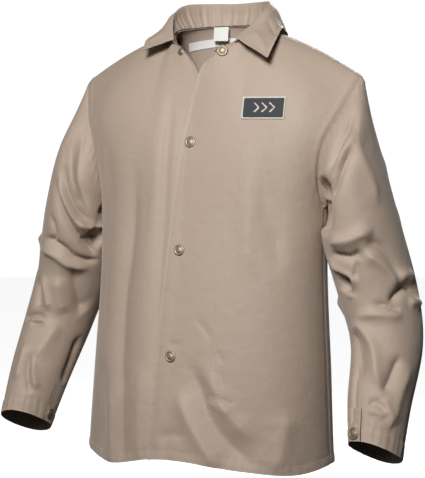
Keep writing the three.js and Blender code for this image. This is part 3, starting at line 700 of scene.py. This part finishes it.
# ---- making cloth pieces from panels ----
# Each piece is a closed shell: the outer face of its panel, the same face set back by the
# thickness of the cloth, and the cut edge between them.
def shell(name, place, normal, facing, thick, look=khaki, wrap=False,
          keep=None, edge=None, share=None):
    rows, columns = place.shape[:2]
    cells = columns if wrap else columns - 1
    keep = np.ones((rows - 1, cells), bool) if keep is None else keep
    thick = np.broadcast_to(thick, (rows, columns))
    points = np.concatenate([place.reshape(-1, 3), (place - normal * thick[..., None]).reshape(-1, 3)])
    normals = np.concatenate([normal.reshape(-1, 3), -normal.reshape(-1, 3)])
    j, i = np.nonzero(keep)

    def corner(row, column, deep):
        return np.stack([row, column, np.full_like(row, deep)], -1)

    quads = []
    for deep, order in ((0, ((0, 0), (0, 1), (1, 1), (1, 0))), (1, ((0, 0), (1, 0), (1, 1), (0, 1)))):
        quads.append(np.stack([corner(j + down, i + along_row, deep) for down, along_row in order], 1))
    padded = np.zeros((rows + 1, cells + 2), bool)
    padded[1:-1, 1:-1] = keep
    if wrap:
        padded[1:-1, 0], padded[1:-1, -1] = keep[:, -1], keep[:, 0]
    for dj, di, ends in ((-1, 0, ((0, 1), (0, 0))), (1, 0, ((1, 0), (1, 1))),
                         (0, -1, ((0, 0), (1, 0))), (0, 1, ((1, 1), (0, 1)))):
        open_side = ~padded[j + 1 + dj, i + 1 + di]
        a, b = j[open_side], i[open_side]
        (ja, ia), (jb, ib) = ends
        quads.append(np.stack([corner(a + ja, b + ia, 0), corner(a + jb, b + ib, 0),
                               corner(a + jb, b + ib, 1), corner(a + ja, b + ia, 1)], 1))
    quads = np.concatenate(quads)
    if facing < 0:
        quads = quads[:, ::-1]
    index = quads[..., 2] * rows * columns + quads[..., 0] * columns + quads[..., 1] % columns
    used, faces = np.unique(index, return_inverse=True)
    faces = faces.reshape(index.shape)
    mesh = bpy.data.meshes.new(name)
    mesh.from_pydata((points[used] / 1000).tolist(), [], faces.tolist())
    across, down = length_from(place, 1) / 1000, length_from(place, 0) / 1000
    across = np.concatenate([across, across[:, -1:] + across[:, 1:2]], 1)
    down = np.concatenate([down, down[:, :1]], 1)
    row, column = quads[..., 0].ravel(), quads[..., 1].ravel()
    uv = np.stack([across[row, column], down[row, column]], -1)
    mesh.uv_layers.new(name="cloth").data.foreach_set("uv", uv.ravel().astype(np.float32))
    rim = np.zeros((rows, columns)) if edge is None else edge
    mesh.attributes.new("edge", "FLOAT", "POINT").data.foreach_set(
        "value", np.tile(rim.ravel(), 2)[used].astype(np.float32))
    mesh.shade_smooth()
    mesh.normals_split_custom_set_from_vertices(normals[used].tolist())
    piece = bpy.data.objects.new(name, mesh)
    bpy.context.scene.collection.objects.link(piece)
    mesh.materials.append(look)
    if share is not None:
        share = np.tile(np.broadcast_to(share, (rows, columns)).ravel(), 2)[used]
    return piece, share


def bend(piece, a, b, share):
    """Bakes the piece's transform into its mesh; a, b and share are not used."""
    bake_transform(piece)


def rubbed(*distances, width=3.5):
    """1 on an edge of the cloth, fading away from it."""
    return np.exp(-((np.minimum.reduce(distances) / width) ** 2))


# ---- fronts, facings and the inside pocket ----
# Two fronts that lap left over right, each with a facing strip sewn inside its closing edge. The
# loose lower part of a front swings open about a line near its side seam; a share of that swing is
# worked out for the cloth, 0 above the chest snap and at the side seam and rising towards the
# closing edge, but the cloth is not bent by it.
CLOTH, FACING, PLY_GAP, FACING_SHARE = 1.8, 1.4, 0.4, 0.2
POCKET = {"from": 68, "to": 188, "top": -450, "bottom": -618}
POCKET_GAP, POCKET_SAG = 0.6, 7
# where the share of the next body starts to rise, and over what distance it comes to 1:
# millimetres on the fronts, stations on the sleeves
SWING_SIDE, SWING_SIDE_EASE, SWING_TOP, SWING_TOP_EASE = 158, 46, -222, 165
SHOULDER_EASE, ELBOW_FROM, ELBOW_EASE = 1.9, 3.15, 1.7
FAR = 60.0  # so far from an edge that it isn't rubbed


def swing(place):
    x, z = np.abs(place[..., 0]), place[..., 2]
    return (1 - smooth((x - SWING_SIDE) / SWING_SIDE_EASE)) * smooth((SWING_TOP - z) / SWING_TOP_EASE)


def arm_share(station):
    return smooth(np.asarray(station) / SHOULDER_EASE)


def elbow_share(station):
    return smooth((np.asarray(station) - ELBOW_FROM) / ELBOW_EASE)


for side in SIDES:
    panel = panels[f"{side}_front"]
    up, over = length_from(panel.place, 0), length_from(panel.place, 1)
    piece, share = shell(f"{side}_front", panel.place, panel.normal, panel.facing, CLOTH,
                         edge=rubbed(up, over, (up[-1] - up) + FAR * (shares > NECK_SHARE)),
                         share=swing(panel.place))
    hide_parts(f"{side}_front_upper", f"{side}_front_lower")
    bend(piece, "torso", f"{side}_front", share)
    strip = slice(0, round(FACING_SHARE * COLUMNS) + 1)
    place = panel.place[:, strip] - panel.normal[:, strip] * (CLOTH + PLY_GAP)
    piece, share = shell(f"{side}_facing", place, panel.normal[:, strip], panel.facing, FACING,
                         share=swing(place))
    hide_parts(f"{side}_facing_upper", f"{side}_facing_lower")
    bend(piece, "torso", f"{side}_front", share)

panel = panels["left_front"]
at_z = np.abs(panel.place[:ROWS_LOW, 40, 2][:, None] - [POCKET["bottom"], POCKET["top"]]).argmin(0)
mid_row = (at_z[0] + at_z[1]) // 2
at_x = np.abs(panel.place[mid_row, :, 0][:, None] - [POCKET["from"], POCKET["to"]]).argmin(0)
r, c = np.meshgrid(np.linspace(*at_z, 36), np.linspace(*at_x, 30), indexing="ij")
a, b = np.linspace(0, 1, 36)[:, None], np.linspace(-1, 1, 30)
place, normal = panel.at(r, c, -CLOTH - POCKET_GAP - POCKET_SAG * (1 - b**4) * np.minimum(1, 3 * a))
pocket = Panel(place, 1)
piece, share = shell("pocket_bag", pocket.place, pocket.normal, 1, FACING, share=swing(place))
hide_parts("inside_pocket")
bend(piece, "torso", "left_front", share)

# ---- back ----
# One piece of cloth from side seam to side seam, sewn to the fronts at the shoulders.
panel = panels["back"]
up = length_from(panel.place, 0)
piece, _ = shell("back", panel.place, panel.normal, panel.facing, CLOTH, edge=rubbed(up, up + 9))
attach(piece, "torso")
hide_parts("back_panel")

# ---- sleeves and cuff flaps ----
# Each sleeve is a tube set into the armhole. It is drawn as an upper and a lower part that meet
# above the elbow. Near the cuff a vent is cut out, and a snapped flap fills it and laps over.
PARTING, VENT_STATION, FLAP_ANGLE, FLAP_RISE = 2.5, 5.25, 45, 4.2
LAP_COLUMNS, LAP_EASE = 9, 6  # how far the flap laps over, and the columns in which it comes down
FLAP_BEND = 22.0  # width of the flap's hinge
VENT_ANGLE = {"left": 125, "right": 190}
parting = np.abs(stations - PARTING).argmin()
vent_row = np.abs(stations - VENT_STATION).argmin()
for side in SIDES:
    panel = panels[f"{side}_sleeve"]
    down = length_from(panel.place, 0)
    rub = rubbed(down[-1] - down, down[-1] - down + 3)
    rows = slice(0, parting + 1)
    piece, share = shell(f"{side}_sleeve_top", panel.place[rows], panel.normal[rows], panel.facing, CLOTH,
                         wrap=True, share=arm_share(stations[rows, None]))
    bend(piece, "torso", f"{side}_arm", share)
    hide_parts(f"{side}_sleeve_upper")

    cut = [round(a / 360 * SLEEVE_COLUMNS) for a in (VENT_ANGLE[side], VENT_ANGLE[side] + FLAP_ANGLE)]
    keep = np.ones((SLEEVE_ROWS - parting, SLEEVE_COLUMNS), bool)
    keep[vent_row - parting:, cut[0]:cut[1]] = False
    rows = slice(parting, SLEEVE_ROWS + 1)
    piece, share = shell(f"{side}_sleeve_bottom", panel.place[rows], panel.normal[rows], panel.facing,
                         CLOTH, wrap=True, keep=keep, edge=rub[rows],
                         share=elbow_share(stations[rows, None]))
    bend(piece, f"{side}_arm", f"{side}_forearm", share)
    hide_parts(f"{side}_sleeve_lower")

    rows, columns = np.arange(vent_row, SLEEVE_ROWS + 1), np.arange(cut[0] - LAP_COLUMNS, cut[1] + 1)
    r, c = np.meshgrid(rows, columns, indexing="ij")
    lap = 1 - smooth((c - cut[0] - 1) / LAP_EASE)
    place, normal = panel.at(r, c, FLAP_RISE * lap + 0.05)
    flap = Panel(place, panel.facing)
    out, low = length_from(place, 1), length_from(place, 0)
    turned(flap, out, low, 6, 0.4, 0.2)
    flap.settle()
    piece, share = shell(f"{side}_cuff", flap.place, flap.normal, flap.facing, CLOTH,
                         edge=rubbed(out, low, low[-1] - low),
                         share=smooth((out[:, -1:] - out) / FLAP_BEND))
    bend(piece, f"{side}_forearm", f"{side}_cuff", share)
    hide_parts(f"{side}_cuff_flap")
    panels[f"{side}_cuff"] = flap

# ---- collar ----
# A soft turned-down collar of two plies: a stand sewn to the neckline, a rolled fold, and a fall
# that lies over the shoulders and ends in two free points. The points can turn up about the fold;
# a share of that turn is worked out for them, but nothing turns them.
STAND_FOOT = [(0, 62, 0.5), (42, 54, -0.5), (66, 32, -3.5), (76, 2, -7.5), (73, -28, -17.5),
              (56, -56, -33.5)]
FOLD = [(0, 66, 35), (45, 60, 36), (79, 28, 33), (84.6, -4, 18), (74, -31, -7), (57.5, -58, -30)]
FALL_EDGE = {
    "left": [(0, 84, -22), (62, 76, -22), (98, 44, -20), (105, 10, -10), (117, -34, -27), (121, -76, -62)],
    "right": [(0, 84, -22), (62, 76, -22), (100, 44, -20), (110, 6, -12), (113, -38, -26), (104, -66, -46)],
}
WING_FROM, WING_EASE, COLLAR_COLUMNS, COLLAR_PLIES = 0.6, 0.14, 200, 2.2
STAND_BOW, FALL_BOW, FOLD_LIFT, COLLAR_TURN = 2.0, 7, 3.0, 6


def all_round(left, right):
    return [(-x, y, z) for x, y, z in right[:0:-1]] + list(left)


around = np.linspace(0, 1, COLLAR_COLUMNS + 1)
foot = spline(all_round(STAND_FOOT, STAND_FOOT), around)
crest = spline(all_round(FOLD, FOLD), around)
hang = spline(all_round(FALL_EDGE["left"], FALL_EDGE["right"]), around)
outward = unit(crest * [1, 1, 0])
STAND_ROWS, FALL_ROWS = 14, 26
levels = np.concatenate([np.linspace(-1, 0, STAND_ROWS + 1), np.linspace(0, 1, FALL_ROWS + 1)[1:]])
grid = []
for level in levels:
    if level <= 0:
        row = foot + (crest - foot) * (1 + level)
        row = row + outward * STAND_BOW * np.sin(np.pi * (1 + level)) ** 2
    else:
        row = crest + (hang - crest) * level
        row = row + outward * FALL_BOW * (smooth(level / 0.16) + level * (1 - level))
    row = row + [0, 0, 1] * np.array(FOLD_LIFT * np.exp(-((level / 0.12) ** 2)))
    grid.append(row)
collar = Panel(np.array(grid), 1)
# the inside of the neck is gathered where the stand is sewn on, and the fall is a little wavy
gathers = np.sin(around * 170) + 0.7 * np.sin(around * 271 + 1) + 0.5 * np.sin(around * 97 + 2)
collar.rise += 0.55 * gathers * smooth((0.1 - levels) / 0.5)[:, None]
sag = np.sin(around * 31 + 0.5) + 0.8 * np.sin(around * 53 + 2.0)
collar.rise += 0.9 * sag * smooth(levels)[:, None]
collar.settle()
# folds of the fall as (share round the collar, share down the fall) lines with height and width
FALL_FOLDS = [([(0.93, 0.1), (0.95, 0.5), (0.99, 0.95)], 3.0, 9),
              ([(0.84, 0.15), (0.87, 0.6), (0.90, 0.95)], -2.5, 9),
              ([(0.72, 0.1), (0.75, 0.5), (0.76, 1.0)], 2.0, 10),
              ([(0.62, 0.1), (0.63, 0.8)], -2.0, 9), ([(0.38, 0.1), (0.37, 0.9)], -2.0, 10),
              ([(0.18, 0.1), (0.14, 0.9)], -2.2, 9), ([(0.08, 0.1), (0.05, 0.9)], 2.4, 8)]
for points, height, width in FALL_FOLDS:
    line = spline([(a, b, 0) for a, b in points], np.linspace(0, 1, 40))
    path = collar.at(STAND_ROWS + line[:, 1] * FALL_ROWS, line[:, 0] * COLLAR_COLUMNS)[0]
    collar.press(path, height, width)
from_edge = length_from(collar.place[::-1], 0)[::-1]
across = length_from(collar.place, 1)
from_ends = np.minimum(across, across[:, -1:] - across) + FAR * (levels < 0)[:, None]
turned(collar, np.minimum(from_edge, from_ends), across, COLLAR_TURN, 0.5, 0.2)
collar.settle()
up = length_from(collar.place, 0)
collar_rub = rubbed(from_edge, from_ends, COLLAR_TURN + np.abs(up - up[STAND_ROWS]))
wing = [round((1 - WING_FROM) / 2 * COLLAR_COLUMNS), round((1 + WING_FROM) / 2 * COLLAR_COLUMNS)]
fall_rows = slice(STAND_ROWS, STAND_ROWS + FALL_ROWS + 1)
COLLAR_PIECES = [
    ("collar_inner", slice(0, STAND_ROWS + 1), slice(0, COLLAR_COLUMNS + 1), "collar_stand", (0.36, 0.045)),
    ("collar_fall", fall_rows, slice(wing[0], wing[1] + 1), "collar_back", (0.25, 0.075)),
    ("right_collar_point", fall_rows, slice(0, wing[0] + 1), "collar_right", (0.075, 0.068)),
    ("left_collar_point", fall_rows, slice(wing[1], COLLAR_COLUMNS + 1), "collar_left", (0.085, 0.072)),
]
point_share = smooth((np.abs(around * 2 - 1) - WING_FROM) / WING_EASE)
for name, rows, columns, stood_for, flat in COLLAR_PIECES:
    piece, share = shell(name, collar.place[rows, columns], collar.normal[rows, columns], 1, COLLAR_PLIES,
                         edge=collar_rub[rows, columns], share=point_share[columns])
    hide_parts(stood_for)
    if "point" in name:
        bend(piece, "torso", name.replace("_point", ""), share)
    else:
        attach(piece, "torso")

# ---- snap fasteners ----
# Pressed brass snaps in an aged finish: a domed cap riveted to a socket on the left front, and a
# stud riveted to a post on the right front. There are four down the front and one on each cuff.
# Profiles are (radius, height) in millimetres.
SNAP_Z, SNAP_X, SNAP_NAMES = [-200, -373, -542], [3, 0, -3], ["chest", "waist", "hem"]
PLIES = CLOTH + PLY_GAP + FACING
CAP = [(7.8, -0.2), (8.5, 0.1), (8.6, 0.7), (8.3, 1.3), (7.6, 1.8), (6.6, 2.1), (5.9, 2.0), (5.4, 1.5),
       (4.9, 1.45), (4.4, 1.9), (3.4, 2.4), (1.8, 2.75), (0.001, 2.85)]
SOCKET = [(0.001, -0.3), (2.2, -0.3), (2.3, -1.5), (3.1, -1.9), (4.4, -1.7), (5.9, -1.2), (6.3, -0.4),
          (6.2, 0)]
STUD = [(5.9, 0), (5.9, 0.4), (3.0, 0.6), (2.2, 0.9), (2.5, 1.7), (2.2, 2.2), (1.2, 2.45), (0.001, 2.5)]
POST = [(0.001, -0.8), (5.0, -0.8), (6.3, -0.4), (6.4, 0), (2, 0.2), (0.001, 0.2)]
TURNS, SNAP_SCALE = 40, 1.12
ON_CLOTH = 0.1  # caps and studs stand just off the cloth
FRONT_PARTS = {"left": {"cap": (CAP, ON_CLOTH), "socket": (SOCKET, -PLIES)},
               "right": {"stud": (STUD, ON_CLOTH), "post": (POST, -PLIES)}}

brass, tree, shader = material("aged_brass")
place = node(tree, "ShaderNodeTexCoord", out=3)
wear = node(tree, "ShaderNodeTexNoise", None, Vector=place, Scale=420.0, Detail=4.0)
spots = node(tree, "ShaderNodeTexNoise", None, Vector=place, Scale=1500.0, Detail=2.0)
dent = node(tree, "ShaderNodeBump", None, 0.25, 0.0003, Height=spots)
paint(tree, shader, Base_Color=mix(tree, wear, (0.25, 0.20, 0.135, 1), (0.42, 0.35, 0.25, 1)),
      Metallic=0.75, Roughness=0.42 + 0.2 * wear, Normal=dent)


def lathe(name, profile, centre, axis, look=brass):
    """A turned part on a point, with its axis along the cloth's normal."""
    axis = unit(np.asarray(axis, float))
    across = unit(np.cross([0, 0, 1], axis))
    upright = np.cross(axis, across)
    turn = np.linspace(0, 2 * np.pi, TURNS, endpoint=False)
    radius, height = np.array(profile, float).T * [[SNAP_SCALE], [1]]
    outward = np.cos(turn)[:, None] * across + np.sin(turn)[:, None] * upright
    points = centre + radius[:, None, None] * outward + height[:, None, None] * axis
    last = (len(profile) - 1) * TURNS
    faces = [[k + i, k + (i + 1) % TURNS, k + TURNS + (i + 1) % TURNS, k + TURNS + i]
             for k in range(0, last, TURNS) for i in range(TURNS)]
    ends = [list(range(TURNS))[::-1], [last + i for i in range(TURNS)]]
    mesh = bpy.data.meshes.new(name)
    mesh.from_pydata((points.reshape(-1, 3) / 1000).tolist(), [], faces + ends)
    mesh.shade_smooth()
    made = bpy.data.objects.new(name, mesh)
    bpy.context.scene.collection.objects.link(made)
    mesh.materials.append(look)
    return made


def find(panel, x, z):
    flat = panel.place[..., [0, 2]] - [x, z]
    row, column = np.unravel_index((flat**2).sum(-1).argmin(), panel.place.shape[:2])
    return panel.place[row, column], panel.normal[row, column]


def place_snap(name, parts, bodies, centre, axis, share=None):
    """parts gives the profile and the height along the axis of each part of the snap."""
    for part, (profile, height) in parts.items():
        piece = lathe(f"{name}_{part}", profile, centre + unit(axis) * height, axis)
        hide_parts(f"{name}_snap_{part}")
        if share is None:
            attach(piece, bodies[0])
        else:
            bend(piece, *bodies, np.full(len(piece.data.vertices), share))


for name, x, z in zip(SNAP_NAMES, SNAP_X, SNAP_Z):
    for side, parts in FRONT_PARTS.items():
        centre, axis = find(panels[f"{side}_front"], x, z)
        spot = None if name == "chest" else float(swing(centre))
        place_snap(name, parts, ("torso", f"{side}_front"), centre, axis * [0, 1, 1], spot)
for side, parts in FRONT_PARTS.items():
    panel = panels[f"{side}_front"]
    centre, axis = panel.at(ROWS_LOW + 0.88 * ROWS_UP, 0.06 * COLUMNS)
    place_snap("neck", parts, ("torso",), centre, axis)
CUFF_SNAP_ANGLE, CUFF_SNAP_STATION = 13, 5.83
for side in SIDES:
    panel = panels[f"{side}_sleeve"]
    row = np.interp(CUFF_SNAP_STATION, stations, np.arange(len(stations)))
    column = (VENT_ANGLE[side] - CUFF_SNAP_ANGLE) / 360 * SLEEVE_COLUMNS
    centre, axis = panel.at(row, column)
    under = {"stud": (STUD, ON_CLOTH), "post": (POST, -CLOTH)}
    over = {"cap": (CAP, FLAP_RISE + PLY_GAP), "socket": (SOCKET, FLAP_RISE - CLOTH)}
    place_snap(f"{side}_cuff", under, (f"{side}_forearm",), centre, axis)
    place_snap(f"{side}_cuff", over, (f"{side}_cuff",), centre, axis)

# ---- chest patch, neck label and size tag ----
# A woven charcoal patch with a pale merrowed border and plain chevrons, sewn on the wearer's left
# chest. Inside the back neck a white satin label is sewn on, and a small size tag stands above it.
PATCH_SHARE, PATCH_Z, PATCH_TALL, BORDER = (0.305, 0.6), -143, 36, 2.6
CHEVRON_PLACES, CHEVRON_REACH, CHEVRON_HALF_WIDE, CHEVRON_HALF_TALL = (-13, 0, 13), 6, 1.7, 8.5


def weave(name, colour, other):
    made, tree, shader = material(name)
    cloth = node(tree, "ShaderNodeUVMap", {"uv_map": "cloth"})
    threads = node(tree, "ShaderNodeTexBrick", {"offset": 0.5}, Vector=cloth, Scale=1.0, Brick_Width=0.0012,
                   Row_Height=0.0006, Mortar_Size=0.00008, Mortar_Smooth=0.6, out=1)
    cloudy = node(tree, "ShaderNodeTexNoise", None, Vector=cloth, Scale=120.0, Detail=3.0)
    paint(tree, shader, Base_Color=mix(tree, cloudy * 0.8 + threads * 0.2, colour, other),
          Roughness=0.62 + 0.2 * cloudy, Sheen_Weight=0.3,
          Normal=node(tree, "ShaderNodeBump", None, 0.3, 0.0002, Height=1 - threads))
    return made


charcoal = weave("charcoal_weave", (0.018, 0.019, 0.023, 1), (0.035, 0.037, 0.042, 1))
pale_thread = weave("pale_thread", (0.50, 0.46, 0.40, 1), (0.62, 0.58, 0.52, 1))
white_satin = weave("white_satin", (0.74, 0.72, 0.68, 1), (0.82, 0.81, 0.78, 1))
grey_print = weave("grey_print", (0.30, 0.30, 0.30, 1), (0.36, 0.36, 0.36, 1))


def level_point(share, z, lift):
    """Point of the upper left front at a share of its width and a height."""
    panel = panels["left_front"]
    rows = np.arange(ROWS_LOW, ROWS_LOW + ROWS_UP + 1)
    column = panel.at(rows, share * COLUMNS)[0][:, 2]
    return panel.at(np.interp(z, column, rows), share * COLUMNS, lift)[0]


def trim_panel(s_range, z_range, lift, size):
    s, z = np.linspace(*s_range, size[1]), np.linspace(*z_range, size[0])
    return Panel(np.array([[level_point(a, b, lift) for a in s] for b in z]), 1)


z_range = (PATCH_Z - PATCH_TALL / 2, PATCH_Z + PATCH_TALL / 2)
patch = trim_panel(PATCH_SHARE, z_range, 1.3, (30, 60))
over, tall = length_from(patch.place, 1), length_from(patch.place, 0)
rim = np.minimum.reduce([over, over[:, -1:] - over, tall, tall[-1] - tall])
patch.rise += 1.1 * np.sqrt(np.clip(1 - ((rim - BORDER / 2) / (BORDER / 2)) ** 2, 0, 1)) - 0.2
patch.settle()
piece, _ = shell("chest_patch_cloth", patch.place, patch.normal, 1, 1.2, charcoal)
piece.data.materials.append(pale_thread)
# the border and three chevrons are worked in pale thread
centre_run, centre_tall = over[:, -1:] / 2, tall[-1] / 2
marks = rim < BORDER + 0.4
off_centre = np.abs(tall - centre_tall)
for offset in CHEVRON_PLACES:
    beside = np.abs((over - centre_run - offset) - (CHEVRON_REACH - off_centre))
    marks |= (beside < CHEVRON_HALF_WIDE) & (off_centre < CHEVRON_HALF_TALL)
cell_marks = (marks[:-1, :-1].astype(int) + marks[1:, 1:] + marks[:-1, 1:] + marks[1:, :-1]) >= 3
flat_marks = np.concatenate([cell_marks.ravel()] * 2)
index = np.ones(len(piece.data.polygons), np.int32)
index[: flat_marks.size] = flat_marks
piece.data.polygons.foreach_set("material_index", index)
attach(piece, "torso")
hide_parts("chest_patch")

panel = panels["back"]
r, c = np.meshgrid(ROWS_LOW + np.linspace(0.694, 0.766, 12) * ROWS_UP,
                   (1 + np.linspace(-0.27, 0.02, 30)) * COLUMNS, indexing="ij")
label = Panel(panel.at(r, c, -CLOTH - 0.7)[0], -1)
piece, _ = shell("neck_label_cloth", label.place, label.normal, -1, 0.5, white_satin)
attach(piece, "torso")
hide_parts("neck_label")
TAG_X, TAG_Y, TAG_Z, TAG_LEAN, TAG_BOW = -24, 52, -14, np.radians(6), 1.4
tag_u, tag_v = np.meshgrid(np.linspace(-14, 14, 16), np.linspace(-12, 12, 14))
tag = Panel(np.stack([tag_u + TAG_X, TAG_Y + tag_v * np.sin(TAG_LEAN) - TAG_BOW * np.cos(tag_u / 9),
                      tag_v * np.cos(TAG_LEAN) + TAG_Z], -1), 1)
piece, _ = shell("size_tag_cloth", tag.place, tag.normal, 1, 0.5, white_satin)
piece.data.materials.append(grey_print)
bars = (np.abs(tag_u) < 8) & ((np.abs(tag_v - 4) < 1.2) | (np.abs(tag_v + 3) < 1.2))
cells = bars[:-1, :-1] & bars[1:, 1:]
index = np.zeros(len(piece.data.polygons), np.int32)
index[: cells.size] = cells.ravel()
piece.data.polygons.foreach_set("material_index", index)
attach(piece, "torso")
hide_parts("size_tag")

# ---- stitching ----
# Lockstitch in khaki thread, 8 to the inch, along every turned edge and felled seam.
PITCH, STITCH, THREAD = 3.3, 2.5, 0.34
NECK_SEAM, FLAP_SEAM, COLLAR_SEAM = 5.0, 5.0, 6.0  # from the edge of the cloth
ARMHOLE_STITCH, SIDE_STITCH, COLLAR_END, UNDERARM = 1.1, 1.2, 3.0, 186  # columns, and degrees
thread_look = weave("khaki_thread", (0.40, 0.315, 0.225, 1), (0.47, 0.375, 0.275, 1))
runs = {}


def stitch(group, panel, row, column, lift=0.15, marks=None):
    """A run of stitches along fractional rows and columns; marks gives each stitch a share between two
    bodies, but the thread is not bent by it.
    """
    place, normal = panel.at(row, column, lift)
    marks = np.zeros(len(place)) if marks is None else marks
    run = np.concatenate([[0], np.linalg.norm(np.diff(place, axis=0), axis=1).cumsum()])
    middles = np.arange(PITCH / 2, run[-1], PITCH)

    def along_run(values, spots):
        return np.stack([np.interp(spots, run, v) for v in np.atleast_2d(values.T)], -1)

    rings = []
    for shift, drop in ((-0.5, -0.35), (0, 0.2), (0.5, -0.35)):
        spots = middles + shift * STITCH
        centre, up = along_run(place, spots), unit(along_run(normal, spots))
        beside = np.cross(up, unit(along_run(place, spots + 0.5) - along_run(place, spots - 0.5)))
        rings.append(np.stack([centre + up * (drop + THREAD * np.sin(q)) + beside * THREAD * np.cos(q)
                               for q in np.arange(4) * np.pi / 2], 1))
    runs.setdefault(group, []).append((np.stack(rings, 1), along_run(marks, middles)[:, 0]))


def sew(group, a, b=None):
    """Turns the runs of a group into one piece of thread."""
    made = runs.pop(group)
    points = np.concatenate([rings.reshape(-1, 3) for rings, _ in made])
    marks = np.repeat(np.concatenate([m for _, m in made]), 12)
    pattern = [[4 * k + q, 4 * k + (q + 1) % 4, 4 * k + 4 + (q + 1) % 4, 4 * k + 4 + q]
               for k in range(2) for q in range(4)] + [[3, 2, 1, 0], [8, 9, 10, 11]]
    faces = (np.array(pattern) + 12 * np.arange(len(points) // 12)[:, None, None]).reshape(-1, 4)
    mesh = bpy.data.meshes.new(f"{group}_stitches")
    mesh.from_pydata((points / 1000).tolist(), [], faces.tolist())
    uv = (points[faces.ravel()][:, [0, 2]] / 1000).astype(np.float32)
    mesh.uv_layers.new(name="cloth").data.foreach_set("uv", uv.ravel())
    mesh.shade_smooth()
    mesh.materials.append(thread_look)
    piece = bpy.data.objects.new(f"{group}_stitches", mesh)
    bpy.context.scene.collection.objects.link(piece)
    if b is None:
        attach(piece, a)
    else:
        bend(piece, a, b, marks)


def offset_columns(panel, distance, rows):
    """Column at a length of cloth from the first column, for each row."""
    over = length_from(panel.place, 1)
    return np.array([np.interp(distance, over[r], np.arange(over.shape[1])) for r in rows])


def offset_rows(panel, distance, columns, from_end=False):
    up = length_from(panel.place, 0)
    up = up[-1] - up if from_end else up
    order = slice(None, None, -1) if from_end else slice(None)
    return np.array([np.interp(distance, up[order, c], np.arange(up.shape[0])[order]) for c in columns])


for side in SIDES:
    panel, group = panels[f"{side}_front"], f"{side}_front"
    rows, columns = np.arange(panel.place.shape[0]), np.arange(COLUMNS + 1)
    neck = columns[: round(NECK_SHARE * COLUMNS)]
    armhole_rows = rows[ROWS_LOW + 1:]
    lines = [(rows[2:], offset_columns(panel, EDGE_TURN, rows)[2:]),
             (offset_rows(panel, HEM_TURN, columns)[1:], columns[1:]),
             (offset_rows(panel, NECK_SEAM, neck, True), neck),
             (armhole_rows, COLUMNS - ARMHOLE_STITCH + 0 * armhole_rows)]
    if side == "left":
        low, high = POCKET["bottom"], POCKET["top"]
        near, far = POCKET["from"], POCKET["to"]
        outline = [(near, high), (near - 3, low + 6), (near + 8, low), (far - 6, low - 4), (far, low + 6),
                   (far, high)]
        for (x0, z0), (x1, z1) in zip(outline, outline[1:]):
            count = max(3, round(np.hypot(x1 - x0, z1 - z0) / 6))
            at_row = np.interp(np.linspace(z0, z1, count), panel.place[:ROWS_LOW, 40, 2], rows[:ROWS_LOW])
            at_column = [np.interp(x, panel.place[round(r), :, 0], columns)
                         for x, r in zip(np.linspace(x0, x1, count), at_row)]
            lines.append((at_row, np.array(at_column)))
    for row, column in lines:
        stitch(group, panel, row, column, marks=swing(panel.at(row, column)[0]))
    sew(group, "torso", f"{side}_front")
panel = panels["back"]
columns, rows = np.arange(2 * COLUMNS + 1), np.arange(panel.place.shape[0])
stitch("back", panel, offset_rows(panel, HEM_TURN, columns), columns)
for column in (SIDE_STITCH, 2 * COLUMNS - SIDE_STITCH):
    stitch("back", panel, rows[3:-2], column + 0 * rows[3:-2])
for line in (columns[: round((1 - NECK_SHARE) * COLUMNS)], columns[round((1 + NECK_SHARE) * COLUMNS):]):
    stitch("back", panel, offset_rows(panel, NECK_SEAM, line, True), line)
sew("back", "torso")
for side in SIDES:
    panel = panels[f"{side}_sleeve"]
    columns = np.arange(SLEEVE_COLUMNS + 1)
    top_rows, bottom_rows = np.arange(1, parting + 1), np.arange(parting, SLEEVE_ROWS - 1)
    under = UNDERARM / 360 * SLEEVE_COLUMNS
    cuff_row = offset_rows(panel, CUFF_TURN, np.arange(SLEEVE_COLUMNS), True)
    kept = (columns[:-1] < VENT_ANGLE[side] / 360 * SLEEVE_COLUMNS - 1) \
        | (columns[:-1] > (VENT_ANGLE[side] + FLAP_ANGLE) / 360 * SLEEVE_COLUMNS + 1)
    turn_on = columns[:-1][kept]
    start = int(np.argmax(np.diff(turn_on))) + 1
    turn_on = np.roll(turn_on, -start)
    stitch(f"{side}_sleeve_top", panel, 1.0 + 0 * columns, columns, 0.1,
           arm_share(np.interp(1.0, np.arange(len(stations)), stations)) + 0 * columns)
    stitch(f"{side}_sleeve_top", panel, top_rows, under + 0 * top_rows,
           marks=arm_share(stations[top_rows]))
    sew(f"{side}_sleeve_top", "torso", f"{side}_arm")
    if side == "left":
        stitch(f"{side}_sleeve_bottom", panel, bottom_rows, under + 0 * bottom_rows,
               marks=elbow_share(stations[bottom_rows]))
    stitch(f"{side}_sleeve_bottom", panel, np.roll(cuff_row[kept], -start),
           np.where(np.arange(len(turn_on)) >= len(turn_on) - start, turn_on + SLEEVE_COLUMNS, turn_on),
           marks=np.ones(len(turn_on)))
    sew(f"{side}_sleeve_bottom", f"{side}_arm", f"{side}_forearm")
    flap = panels[f"{side}_cuff"]
    out, rows = length_from(flap.place, 1), np.arange(1, flap.place.shape[0] - 1)
    column = offset_columns(flap, FLAP_SEAM, rows)
    share = smooth((out[rows, -1] - FLAP_SEAM) / FLAP_BEND)
    stitch(f"{side}_cuff", flap, rows, column, marks=share)
    sew(f"{side}_cuff", f"{side}_forearm", f"{side}_cuff")
edge_rows = offset_rows(collar, COLLAR_SEAM, np.arange(COLLAR_COLUMNS + 1), True)
ends = {"right_collar": COLLAR_END, "left_collar": COLLAR_COLUMNS - COLLAR_END}
for group, low, high in (("right_collar", ends["right_collar"], wing[0]), ("collar", wing[0], wing[1]),
                         ("left_collar", wing[1], ends["left_collar"])):
    line = np.arange(int(low), int(high) + 1)
    stitch(group, collar, edge_rows[line], line, marks=point_share[line])
    if group == "collar":
        sew(group, "torso")
        continue
    rows = np.arange(STAND_ROWS + 1, STAND_ROWS + FALL_ROWS - 1)
    stitch(group, collar, rows, ends[group] + 0 * rows, marks=np.ones(len(rows)))
    sew(group, "torso", group)
